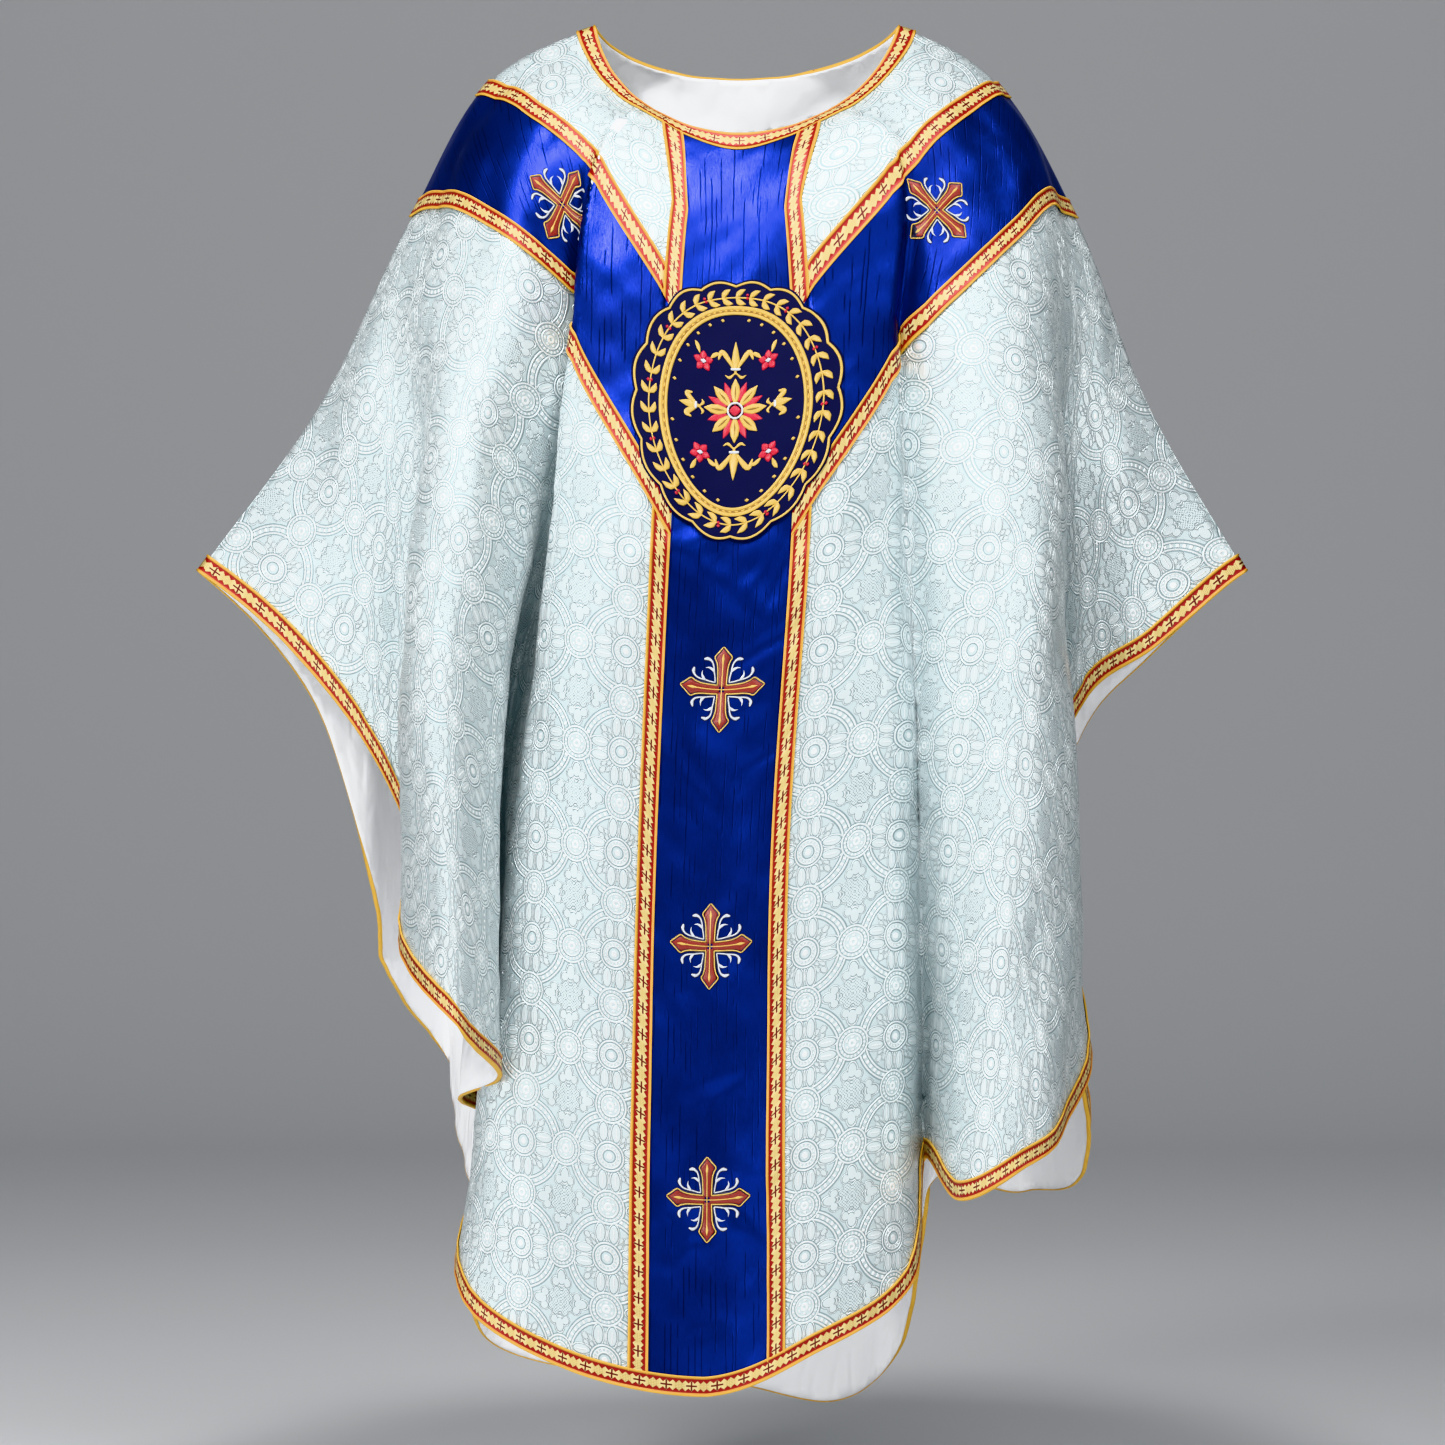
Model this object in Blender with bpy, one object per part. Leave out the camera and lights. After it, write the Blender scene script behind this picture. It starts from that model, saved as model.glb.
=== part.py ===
# Gothic chasuble of white roundel brocade with a blue Y orphrey, filled out as worn and hollow.
# Metres, +Z up. The front faces -Y. The origin is the middle of the neck hole at shoulder height.
#
# The cloth is laid out in a flat pattern whose pole is the origin: a flat point has a distance
# from the pole (radius) and an angle from the middle line (fan). Fold lines run straight across
# the flat from the shoulder to the hem, and each one is draped to its own place in space.

import bpy
import numpy as np
from mathutils import Vector
from mathutils.geometry import delaunay_2d_cdt

for old in list(bpy.data.objects):
    bpy.data.objects.remove(old, do_unlink=True)

# Neck hole
shoulder_neck = 0.150        # flat distance from the pole to the neck edge at the arm line
front_neck_depth = 0.1365    # flat distance from the pole to the front neckline
back_neck_depth = 0.094
ring_half_width = 0.149      # the worn neck hole, from its middle to a shoulder
ring_shoulder_z = 0.015
front_ring_y = -0.075
front_ring_z = -0.098
back_ring_y = 0.085
back_ring_z = -0.025
ring_shift = 0.007           # the worn neck hole hangs a little to the left in front

# Cloth
arm_fan = 80.0               # degrees from the middle line to the arm line
shoulder_radius = 0.24       # distances from the pole at which each fold line's place is given
chest_radius = 0.42
wall = 0.0016                # brocade and its interlining
applied = 0.0010             # blue cloth, lining and facing
braid_wall = 0.0013
seam = 0.0003                # clearance between neighbours
steepest = 0.15              # least share of a fold line's length that drops, where the cloth doubles

# Braid and orphrey
braid_width = 0.019
column_half_width = 0.076    # blue column with its braids
v_crotch = 0.292             # flat distance from the pole at which the V leaves the column
strip_width = 0.141          # blue arm of the Y with its braids
strip_slant = np.radians(53.5)
lining_band = 0.125
facing_band = 0.062
lining_inset = 0.002         # the lining ends this far inside the cloth's edge
hands = (("left", -1), ("right", 1))

# Emblem and crosses
emblem_centre = 0.422
emblem_half = (0.100, 0.124)
cord_half = (0.0708, 0.0975)
emblem_lobes = 16
emblem_scallop = 0.0045
cord_width = 0.010
cord_rise = 0.0022
column_crosses = (0.690, 0.936, 1.178)
left_cross = (-0.212, 0.228)  # flat places of the arm crosses, sideways and down
right_cross = (0.186, 0.248)
cross_reach = 0.040
arm_cross_reach = 0.040

# Mesh
stations = (0.20, 0.24, 0.285, 0.34, 0.42, 0.52, 0.63, 0.75, 0.87, 0.99, 1.10, 1.20, 1.29)
least_spacing = 0.013
fine_radii = np.linspace(0.09, 1.52, 287)
normal_rounds = 60           # rounds, pull and step by which a normal settles between its faces
normal_pull = 15.0
normal_step = 0.15
longest_normal = 1.8
least_area = 2e-8            # thinner scraps along a straight edge are left out
past_neck = 0.05             # flat heights and distances that lie past the cloth's edges
past_hem = 1.50
past_arm = 0.60
past_edge = 0.05
past_arm_line = 0.004
cord_points = 24
rim_points_per_lobe = 3

# Fold lines from the middle line out to the arm line. fan_top and fan_hem are in degrees, reach is the
# flat distance from the pole to the hem, and the rest is where the line hangs at the shoulder, the
# chest, halfway down and the hem.
columns = ("name", "fan_top", "fan_hem", "reach", "top_x", "top_y", "top_z",
           "chest_x", "chest_y", "mid_x", "mid_y", "hem_x", "hem_y")
front_left_folds = (
    ("axis", 0, 0, 1.366, -.010, -.117, -.195, -.012, -.150, -.035, -.165, -.040, -.175),
    ("panel_mid", 19, 5.5, 1.366, -.075, -.112, -.165, -.095, -.148, -.136, -.168, -.170, -.185),
    ("panel_edge", 36, 11.8, 1.342, -.138, -.098, -.115, -.166, -.125, -.218, -.142, -.272, -.150),
    ("panel_side", 37.5, 17, 1.285, -.142, -.094, -.113, -.163, -.110, -.222, -.090, -.272, -.080),
    ("valley", 39, 23, 1.215, -.146, -.092, -.111, -.140, -.100, -.234, -.025, -.256, .010),
    ("tube_wall", 40.5, 30, 1.180, -.150, -.090, -.109, -.152, -.086, -.245, -.085, -.278, -.095),
    ("tube_inner", 42, 36, 1.155, -.154, -.088, -.107, -.176, -.098, -.232, -.165, -.238, -.175),
    ("tube_front", 50, 43, 1.140, -.178, -.076, -.090, -.222, -.122, -.280, -.225, -.274, -.245),
    ("tube_outer", 60, 50, 1.090, -.203, -.060, -.070, -.259, -.112, -.326, -.180, -.330, -.165),
    ("crease", 68, 59, 1.012, -.219, -.040, -.050, -.297, -.080, -.322, -.085, -.326, -.075),
    ("tip_inner", 74, 67, .920, -.228, -.022, -.038, -.314, -.045, -.358, -.070, -.376, -.065),
    ("tip_mid", 77, 73.5, .854, -.234, -.011, -.029, -.325, -.022, -.394, -.045, -.452, -.045),
    ("arm", 80, 80, .830, -.236, 0, -.023, -.332, 0, -.422, 0, -.542, 0))
front_right_folds = (
    ("axis", 0, 0, 1.366, -.010, -.117, -.195, -.012, -.150, -.035, -.165, -.040, -.175),
    ("panel_mid", 19, 4.5, 1.346, .055, -.112, -.165, .069, -.148, .056, -.168, .063, -.185),
    ("panel_edge", 34, 9.5, 1.315, .133, -.098, -.118, .138, -.122, .138, -.142, .155, -.140),
    ("valley", 38, 13, 1.207, .146, -.092, -.111, .148, -.098, .166, -.105, .174, -.060),
    ("tube_inner", 42, 16.5, 1.242, .158, -.088, -.106, .174, -.122, .189, -.165, .203, -.185),
    ("tube_front", 49, 21.5, 1.236, .175, -.078, -.092, .216, -.130, .243, -.205, .254, -.225),
    ("tube_round", 56, 28, 1.220, .193, -.066, -.078, .252, -.118, .291, -.190, .298, -.190),
    ("tube_outer", 63, 36, 1.152, .209, -.050, -.062, .282, -.095, .311, -.130, .330, -.115),
    ("fold", 69, 52, 1.000, .220, -.036, -.048, .300, -.062, .288, -.032, .285, -.018),
    ("tip_inner", 74, 67, .882, .227, -.022, -.036, .314, -.040, .324, -.036, .332, -.022),
    ("tip_mid", 77, 74, .842, .229, -.011, -.031, .321, -.020, .364, -.030, .402, -.032),
    ("arm", 80, 80, .808, .230, 0, -.024, .326, 0, .396, 0, .493, 0))
back_left_folds = (
    ("axis", 0, 0, 1.425, -.005, .126, -.160, -.008, .142, -.015, .150, -.020, .155),
    ("back_mid", 19, 6.5, 1.432, -.078, .118, -.142, -.092, .140, -.108, .152, -.150, .165),
    ("back_edge", 36, 13, 1.420, -.142, .100, -.103, -.168, .122, -.200, .140, -.269, .158),
    ("back_valley", 41, 21, 1.290, -.155, .092, -.094, -.178, .092, -.218, .055, -.274, .058),
    ("back_tube_in", 46, 30, 1.235, -.168, .085, -.087, -.200, .106, -.244, .135, -.292, .142),
    ("back_tube", 54, 40, 1.204, -.190, .068, -.072, -.240, .118, -.298, .200, -.310, .215),
    ("back_tube_out", 62, 50, 1.138, -.208, .050, -.057, -.280, .098, -.350, .145, -.366, .145),
    ("back_tip_in", 70, 60, 1.022, -.221, .034, -.047, -.303, .062, -.364, .075, -.382, .070),
    ("back_tip_mid", 76, 70, .890, -.233, .014, -.032, -.323, .030, -.402, .058, -.440, .058),
    ("arm", 80, 80, .830, -.236, 0, -.023, -.332, 0, -.422, 0, -.542, 0))
back_right_folds = (
    ("axis", 0, 0, 1.425, -.005, .126, -.160, -.008, .142, -.015, .150, -.020, .155),
    ("back_mid", 19, 6.5, 1.458, .070, .118, -.142, .085, .140, .090, .152, .095, .165),
    ("back_edge", 36, 12, 1.422, .138, .100, -.103, .160, .122, .172, .140, .158, .158),
    ("back_valley", 41, 17, 1.262, .152, .092, -.094, .172, .092, .190, .064, .184, .070),
    ("back_tube_in", 46, 22, 1.276, .166, .085, -.087, .195, .108, .220, .135, .230, .145),
    ("back_tube", 54, 29, 1.320, .190, .068, -.072, .240, .118, .272, .195, .290, .210),
    ("back_tube_out", 62, 37, 1.290, .207, .050, -.057, .279, .096, .325, .130, .350, .130),
    ("back_fold", 69, 52, 1.020, .220, .036, -.048, .299, .060, .296, .040, .296, .026),
    ("back_tip_in", 74, 65, .905, .227, .022, -.037, .313, .040, .328, .044, .336, .034),
    ("back_tip_mid", 77, 73, .850, .229, .011, -.032, .321, .020, .366, .036, .402, .036),
    ("arm", 80, 80, .808, .230, 0, -.024, .326, 0, .396, 0, .493, 0))

# Colour, roughness and metallic value of each kind of cloth
finishes = {
    "brocade": ((0.80, 0.84, 0.86), 0.45, 0.0),
    "lining": ((0.90, 0.90, 0.89), 0.55, 0.0),
    "blue": ((0.01, 0.04, 0.55), 0.35, 0.0),
    "braid": ((0.78, 0.55, 0.16), 0.45, 0.2),
    "emblem": ((0.01, 0.01, 0.07), 0.60, 0.0),
    "cross": ((0.55, 0.12, 0.04), 0.45, 0.0)}

parts = bpy.data.collections.new("gothic_chasuble")
bpy.context.scene.collection.children.link(parts)


def curve_at(values, position):
    """Smooth curve through values at whole numbers, read at any position."""
    index = np.clip(np.floor(position).astype(int), 0, len(values) - 2)
    s = position - index
    before = values[np.maximum(index - 1, 0)]
    after = values[np.minimum(index + 2, len(values) - 1)]
    return blend(before, values[index], values[index + 1], after, s)


def blend(before, first, second, after, s):
    """Catmull-Rom blend from first (s = 0) to second (s = 1)."""
    return 0.5 * (2 * first + (second - before) * s
                  + (2 * before - 5 * first + 4 * second - after) * s**2
                  + (3 * first - before - 3 * second + after) * s**3)


def ease(start, end, start_slope, end_slope, length, s):
    """Cubic from start to end over length, with a slope at each end."""
    return ((1 + 2 * s) * (1 - s)**2 * start + s * (1 - s)**2 * length * start_slope
            + s**2 * (3 - 2 * s) * end + s**2 * (s - 1) * length * end_slope)


def curve_through(knots, values, at):
    """Smooth curve through values at uneven knots."""
    knots = np.array(knots)
    values = np.array(values)
    slopes = np.gradient(values, knots)
    index = np.clip(np.searchsorted(knots, at) - 1, 0, len(knots) - 2)
    length = knots[index + 1] - knots[index]
    s = (at - knots[index]) / length
    return ease(values[index], values[index + 1], slopes[index], slopes[index + 1], length, s)


def flat_point(radius, fan):
    return np.stack([radius * np.sin(fan), radius * np.cos(fan)], -1)


class Half:
    """One half of a panel, from its middle line out to the arm line."""

    def __init__(self, table, side, neck_depth, ring_y, ring_z):
        rows = [dict(zip(columns, row)) for row in table]
        self.side = side
        self.count = len(rows)
        self.fan_top = np.radians([row["fan_top"] for row in rows])
        self.reach = np.array([row["reach"] for row in rows])
        end = np.radians(arm_fan)
        across = shoulder_neck * np.sin(end)
        self.neck_half = across / np.sqrt(1 - (shoulder_neck * np.cos(end) / neck_depth)**2)
        self.neck_depth = neck_depth
        self.neck = self.neck_radius(self.fan_top)
        turn = self.ring_turn(self.fan_top)
        dip = (np.cos(turn) - np.cos(turn[-1])) / (1 - np.cos(turn[-1]))
        ring = np.stack([side * ring_half_width * np.sin(turn) / np.sin(turn[-1]) - ring_shift * dip,
                         ring_y * dip, ring_shoulder_z + (ring_z - ring_shoulder_z) * dip], 1)
        lines = [self.fold_line(row, self.neck[k], ring[k]) for k, row in enumerate(rows)]
        self.fans = np.array([fan for fan, place in lines])
        self.places = np.array([place for fan, place in lines])

    def neck_radius(self, fan):
        return 1 / np.hypot(np.sin(fan) / self.neck_half, np.cos(fan) / self.neck_depth)

    def ring_turn(self, fan):
        """Angle round the neck ellipse, from the middle line."""
        return np.arctan2(np.sin(fan) / self.neck_half, np.cos(fan) / self.neck_depth)

    def fold_line(self, row, neck, ring):
        """Fan angle and place along one fold line, at each of the fine radii."""
        fan_top, fan_hem = np.radians((row["fan_top"], row["fan_hem"]))
        top = flat_point(shoulder_radius, fan_top)
        along = flat_point(row["reach"], fan_hem) - top
        a = along @ along
        b = 2 * top @ along
        c = shoulder_radius**2 - fine_radii**2
        share = (np.sqrt(np.maximum(b * b - 4 * a * c, 0)) - b) / (2 * a)
        flat = top + np.maximum(share, 0)[:, None] * along
        inside = fine_radii < shoulder_radius
        fan = np.where(inside, fan_top, np.arctan2(flat[:, 0], flat[:, 1]))
        middle = (chest_radius + row["reach"]) / 2
        knots = (neck, shoulder_radius, chest_radius, middle, row["reach"])
        x, y = (curve_through(knots, (start, row["top_" + k], row["chest_" + k], row["mid_" + k],
                                      row["hem_" + k]), fine_radii) for k, start in zip("xy", ring))
        run = np.hypot(*np.gradient(flat_point(fine_radii, fan), axis=0).T)
        drop = np.sqrt(np.maximum(run**2 - np.gradient(x)**2 - np.gradient(y)**2, (steepest * run)**2))
        fallen = np.concatenate([[0], np.cumsum((drop[1:] + drop[:-1]) / 2)])
        z = row["top_z"] - (fallen - np.interp(shoulder_radius, fine_radii, fallen))
        slope = -np.interp(shoulder_radius, fine_radii, drop) / (fine_radii[1] - fine_radii[0])
        length = shoulder_radius - neck
        share = np.clip((fine_radii - neck) / length, -0.5, 1)
        start_slope = 2 * (row["top_z"] - ring[2]) / length - slope
        inner = ease(ring[2], row["top_z"], start_slope, slope, length, share)
        return fan, np.stack([x, y, np.where(inside, inner, z)], 1)

    def rows_at(self, table, radius):
        """The table's value on every fold line, at each radius."""
        position = (radius - fine_radii[0]) / (fine_radii[1] - fine_radii[0])
        low = np.clip(position.astype(int), 0, len(fine_radii) - 2)
        s = (position - low).reshape((1, -1) + (1,) * (table.ndim - 2))
        return np.moveaxis(table[:, low] * (1 - s) + table[:, low + 1] * s, 0, 1)

    def fold_of(self, radius, fan):
        """Fold number, counted from the middle line, of flat points."""
        rows = self.rows_at(self.fans, radius)
        k = np.clip((fan[:, None] >= rows).sum(1) - 1, 0, self.count - 2)
        i = np.arange(len(k))
        return k + (fan - rows[i, k]) / np.maximum(rows[i, k + 1] - rows[i, k], 1e-9)

    def fan_of(self, fold, radius):
        rows = self.rows_at(self.fans, radius)
        k = np.clip(fold.astype(int), 0, self.count - 2)
        i = np.arange(len(k))
        return rows[i, k] + (fold - k) * (rows[i, k + 1] - rows[i, k])

    def place(self, fold, radius):
        """Where flat points hang. The curve across the folds runs on into the other half."""
        rows = self.rows_at(self.places, radius)
        other = self.other.rows_at(self.other.places, radius)[:, 1]
        k = np.clip(np.floor(fold).astype(int), 0, self.count - 2)
        i = np.arange(len(k))
        first = rows[i, k]
        second = rows[i, k + 1]
        before = np.where((k == 0)[:, None], other, rows[i, np.maximum(k - 1, 0)])
        after = np.where((k == self.count - 2)[:, None], 2 * second - first,
                         rows[i, np.minimum(k + 2, self.count - 1)])
        return blend(before, first, second, after, (fold - k)[:, None])


def triangulate(flat, edges):
    """Constrained Delaunay triangles of flat points, worked out in millimetres."""
    points = [Vector((1000 * x, 1000 * y)) for x, y in flat]
    found = delaunay_2d_cdt(points, [tuple(map(int, edge)) for edge in edges], [], 0, 0.02)
    placed = np.array([(p.x, p.y) for p in found[0]]) / 1000
    faces = np.array([tuple(face) for face in found[2]])
    ab = placed[faces[:, 1]] - placed[faces[:, 0]]
    ac = placed[faces[:, 2]] - placed[faces[:, 0]]
    area = abs(ab[:, 0] * ac[:, 1] - ab[:, 1] * ac[:, 0]) / 2
    return placed, faces[area > least_area]


def inside(points, loop):
    x = points[:, :1]
    y = points[:, 1:2]
    ax, ay = loop.T
    bx, by = np.roll(loop, -1, axis=0).T
    spans = (ay > y) != (by > y)
    at = ax + (bx - ax) * (y - ay) / np.where(by == ay, 1, by - ay)
    return (spans & (x < at)).sum(1) % 2 == 1


def loop_edges(start, count):
    return [(start + i, start + (i + 1) % count) for i in range(count)]


class Panel:
    """Front or back: the flat mesh, its places in space and its normals."""

    def __init__(self, left, right, outward_y):
        self.left = left
        self.right = right
        left.other = right
        right.other = left
        self.outward_y = outward_y
        self.lines = self.kept_lines()
        hem = self.edge_line(0, "hem")
        neck = self.edge_line(0, "neck")[::-1]
        left_arm = self.lines[0][1]
        right_arm = self.lines[-1][1]
        flat, edges = self.line_edges()
        self.border = np.concatenate([hem, right_arm[-2:0:-1], neck, left_arm[1:-1]])
        start = len(flat)
        flat = np.concatenate([flat, self.border])
        edges += loop_edges(start, len(self.border))
        self.flat, faces = triangulate(flat, edges)
        self.faces = faces[inside(self.flat[faces].mean(1), self.border)]
        if outward_y < 0:
            self.faces = self.faces[:, ::-1]
        self.drape()

    def half(self, fold):
        return self.left if fold < 0 else self.right

    def flat_on(self, fold, radius):
        """Flat points along one signed fold line."""
        half = self.half(fold)
        fan = half.fan_of(np.full(len(radius), float(abs(fold))), radius)
        return flat_point(radius, half.side * fan)

    def ends(self, fold):
        """Neck and hem radii of a signed fold line."""
        half = self.half(fold)
        at = np.array([float(abs(fold))])
        return curve_at(half.neck, at)[0], curve_at(half.reach, at)[0]

    def kept_lines(self):
        """Points along whole and half fold lines, without those that crowd a line kept before."""
        last_left = self.left.count - 1
        last_right = self.right.count - 1
        whole = [0, -last_left, last_right] + [f for f in range(-last_left + 1, last_right) if f]
        halves = [f + 0.5 for f in range(-last_left, last_right)]
        kept = []
        lines = []
        for fold in whole + halves:
            neck, hem = self.ends(fold)
            between = [r for r in stations if neck + least_spacing < r < hem - least_spacing]
            line = self.flat_on(fold, np.array([neck] + between + [hem]))
            if kept:
                others = np.concatenate(kept)
                gap = np.linalg.norm(line[:, None] - others[None], axis=2).min(1)
                line = line[gap > least_spacing]
            if len(line) > 1:
                kept.append(line)
                lines.append((fold, line))
        return sorted(lines, key=lambda item: item[0])

    def line_edges(self):
        flat = np.concatenate([line for fold, line in self.lines])
        edges = []
        start = 0
        for fold, line in self.lines:
            edges += [(start + i, start + i + 1) for i in range(len(line) - 1)]
            start += len(line)
        return flat, edges

    def edge_line(self, inset, edge):
        """Line along the neck or the hem, inset from it, with one point on each fold line."""
        line = []
        for fold, points in self.lines:
            neck, hem = self.ends(fold)
            radius = neck if edge == "neck" else hem
            back = 1 if edge == "neck" else -1
            here, step = self.flat_on(fold, np.array([radius, radius + back * 0.001]))
            end = points[0 if edge == "neck" else -1]
            if np.linalg.norm(end - here) > least_spacing / 2:
                continue
            run = (step - here) / np.linalg.norm(step - here)
            shift = 0.1 if fold < self.right.count - 1 else -0.1
            beside_neck, beside_hem = self.ends(fold + shift)
            beside = beside_neck if edge == "neck" else beside_hem
            along = self.flat_on(fold + shift, np.array([beside]))[0] - here
            lean = abs(run[0] * along[1] - run[1] * along[0]) / np.linalg.norm(along)
            line.append(here + run * inset / max(lean, 0.7))
        return np.array(line)

    def drape(self):
        self.place = np.zeros((len(self.flat), 3))
        radius = np.hypot(*self.flat.T)
        for half in (self.left, self.right):
            chosen = (self.flat[:, 0] * half.side > 0) | ((self.flat[:, 0] == 0) & (half.side > 0))
            fan = np.arctan2(abs(self.flat[chosen, 0]), self.flat[chosen, 1])
            fold = half.fold_of(radius[chosen], fan)
            self.place[chosen] = half.place(np.clip(fold, 0, half.count - 1), radius[chosen])
        corners = self.place[self.faces]
        face_normal = np.cross(corners[:, 1] - corners[:, 0], corners[:, 2] - corners[:, 0])
        face_normal /= np.linalg.norm(face_normal, axis=1, keepdims=True)
        fan = np.degrees(np.arctan2(abs(self.flat[:, 0]), self.flat[:, 1]))
        on_arm = fan > arm_fan - 0.01
        self.place[on_arm, 1] = self.outward_y * seam / 2
        self.normal = self.fair_normals(face_normal, on_arm)

    def fair_normals(self, face_normal, on_arm):
        """A direction at each point that leans alike to all its faces, lengthened in sharp folds."""
        corner = self.faces.ravel()
        beside = np.repeat(face_normal, 3, axis=0)
        normal = np.zeros_like(self.place)
        np.add.at(normal, corner, beside)
        for _ in range(normal_rounds):
            normal[on_arm, 1] = 0
            normal /= np.linalg.norm(normal, axis=1, keepdims=True)
            lean = (normal[corner] * beside).sum(1)
            pull = np.exp(-normal_pull * lean)
            total = np.zeros(len(normal))
            np.add.at(total, corner, pull)
            step = np.zeros_like(normal)
            np.add.at(step, corner, beside * (pull / total[corner])[:, None])
            normal += normal_step * step
        normal[on_arm, 1] = 0
        normal /= np.linalg.norm(normal, axis=1, keepdims=True)
        least = np.ones(len(normal))
        np.minimum.at(least, corner, (normal[corner] * beside).sum(1))
        return normal / np.clip(least, 1 / longest_normal, 1)[:, None]

    def locate(self, points):
        """Place and normal of flat points on the faceted panel."""
        a, b, c = (self.flat[self.faces[:, k]] for k in range(3))
        area = (b[:, 0] - a[:, 0]) * (c[:, 1] - a[:, 1]) - (b[:, 1] - a[:, 1]) * (c[:, 0] - a[:, 0])
        x, y = (points[:, None, k] for k in range(2))
        u = ((c[:, 1] - a[:, 1]) * (x - a[:, 0]) - (c[:, 0] - a[:, 0]) * (y - a[:, 1])) / area
        v = ((b[:, 0] - a[:, 0]) * (y - a[:, 1]) - (b[:, 1] - a[:, 1]) * (x - a[:, 0])) / area
        weights = np.stack([1 - u - v, u, v], 2)
        best = weights.min(2).argmax(1)
        i = np.arange(len(points))
        weight = weights[i, best][:, :, None]
        face = self.faces[best]
        return (self.place[face] * weight).sum(1), (self.normal[face] * weight).sum(1)

    def cut(self, *loops, creases=()):
        """The part of the panel's mesh inside every loop, with edges along the creases too."""
        low = self.flat[self.faces].min(1)
        high = self.flat[self.faces].max(1)
        near = ((low < loops[0].max(0)) & (high > loops[0].min(0))).all(1)
        faces = self.faces[near]
        used, index = np.unique(faces, return_inverse=True)
        index = index.reshape(faces.shape)
        edges = [(face[k], face[(k + 1) % 3]) for face in index for k in range(3)]
        flat = self.flat[used]
        for loop in (*loops, *creases):
            edges += loop_edges(len(flat), len(loop))
            flat = np.concatenate([flat, loop])
        flat, found = triangulate(flat, edges)
        middle = flat[found].mean(1)
        keep = inside(middle, self.border)
        for loop in loops:
            keep &= inside(middle, loop)
        found = found[keep]
        used, index = np.unique(found, return_inverse=True)
        found = index.reshape(found.shape)
        return flat[used], found[:, ::-1] if self.outward_y < 0 else found


def add_object(name, finish, points, faces):
    mesh = bpy.data.meshes.new(name)
    mesh.from_pydata([tuple(map(float, point)) for point in points], [], faces)
    mesh.validate()
    solid = bpy.data.objects.new(name, mesh)
    parts.objects.link(solid)
    colour, roughness, metallic = finishes[finish]
    material = bpy.data.materials.new(name + "_" + finish)
    material.use_nodes = True
    shader = material.node_tree.nodes["Principled BSDF"]
    shader.inputs["Base Color"].default_value = (*colour, 1)
    shader.inputs["Roughness"].default_value = roughness
    shader.inputs["Metallic"].default_value = metallic
    mesh.materials.append(material)
    mesh.set_sharp_from_angle(angle=np.radians(50))
    return solid


def add_sheet(name, finish, panel, flat, faces, low, high):
    """Closed wall between two heights above the panel. high may differ from point to point."""
    place, normal = panel.locate(flat)
    high = np.broadcast_to(high, len(flat))[:, None]
    points = np.concatenate([place + normal * high, place + normal * low])
    count = len(flat)
    sides = [(int(a), int(b)) for face in faces for a, b in zip(face, np.roll(face, -1))]
    open_sides = set(sides) - {(b, a) for a, b in sides}
    solid = [tuple(map(int, face)) for face in faces]
    solid += [tuple(int(i) + count for i in face[::-1]) for face in faces]
    for a, b in sorted(open_sides):
        solid.append((b, a, a + count))
        solid.append((b, a + count, b + count))
    return add_object(name, finish, points, solid)


def strip_line(across, below):
    """Flat y of a line along the Y's arm, some way below its upper edge, at a distance across."""
    return v_crotch - (across - column_half_width) * np.tan(strip_slant) + below / np.cos(strip_slant)


def strip(side, start, upper, lower):
    """Flat loop along the Y's arm from a distance across, between two widths from its upper edge."""
    corners = ((start, upper), (past_arm, upper), (past_arm, lower), (start, lower))
    return np.array([(side * across, strip_line(across, below)) for across, below in corners])


def upright(side, inner, outer, top, bottom):
    """Flat loop between two distances across. top and bottom each give a height at a distance."""
    return np.array([(side * inner, top(inner)), (side * outer, top(outer)),
                     (side * outer, bottom(outer)), (side * inner, bottom(inner))])


def field(panel):
    """Flat loop of the cloth between the neck braid and the hem braid, open past the arm lines."""
    inner = panel.edge_line(braid_width + seam, "neck")
    outer = panel.edge_line(braid_width + seam, "hem")
    right = (past_edge, -past_edge)
    left = (-past_edge, -past_edge)
    return np.concatenate([outer, outer[-1:] + right, inner[-1:] + right, inner[::-1],
                           inner[:1] + left, outer[:1] + left])


def edge_band(panel, edge, width, inset):
    """Flat loop of the band along the neck or the hem, between two distances from the edge."""
    inner = panel.edge_line(width, edge)
    outer = panel.edge_line(inset, edge)
    past = (past_arm_line, 0)
    inner = np.concatenate([inner[:1] - past, inner, inner[-1:] + past])
    outer = np.concatenate([outer[:1] - past, outer, outer[-1:] + past])
    return np.concatenate([inner, outer[::-1]])


def cross_loop(centre, reach, lean=0.0):
    """Flat outline of a pointed cross with a sprig in each corner, turned by an angle."""
    quarter = ((0.15, 0.15), (0.26, 0.17), (0.42, 0.36), (0.36, 0.42), (0.17, 0.26), (0.15, 0.15))
    arm = ((0.14, 0.66), (0.23, 0.74), (0.11, 0.84), (0, 1), (-0.11, 0.84), (-0.23, 0.74), (-0.14, 0.66))
    points = []
    for turn in np.radians((0, 90, 180, 270)) + lean:
        spin = np.array([(np.cos(turn), np.sin(turn)), (-np.sin(turn), np.cos(turn))])
        points += [np.array(point) @ spin for point in quarter[:-1] + arm]
    return np.array(centre) + reach * np.array(points)


def ellipse(centre, half_sizes, count, scallop=0.0):
    turn = np.linspace(0, 2 * np.pi, count, endpoint=False)
    grow = scallop * np.abs(np.sin(turn * emblem_lobes / 2))
    x = (half_sizes[0] + grow) * np.cos(turn)
    y = (half_sizes[1] + grow) * np.sin(turn)
    return np.stack([centre[0] + x, centre[1] + y], 1)


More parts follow.
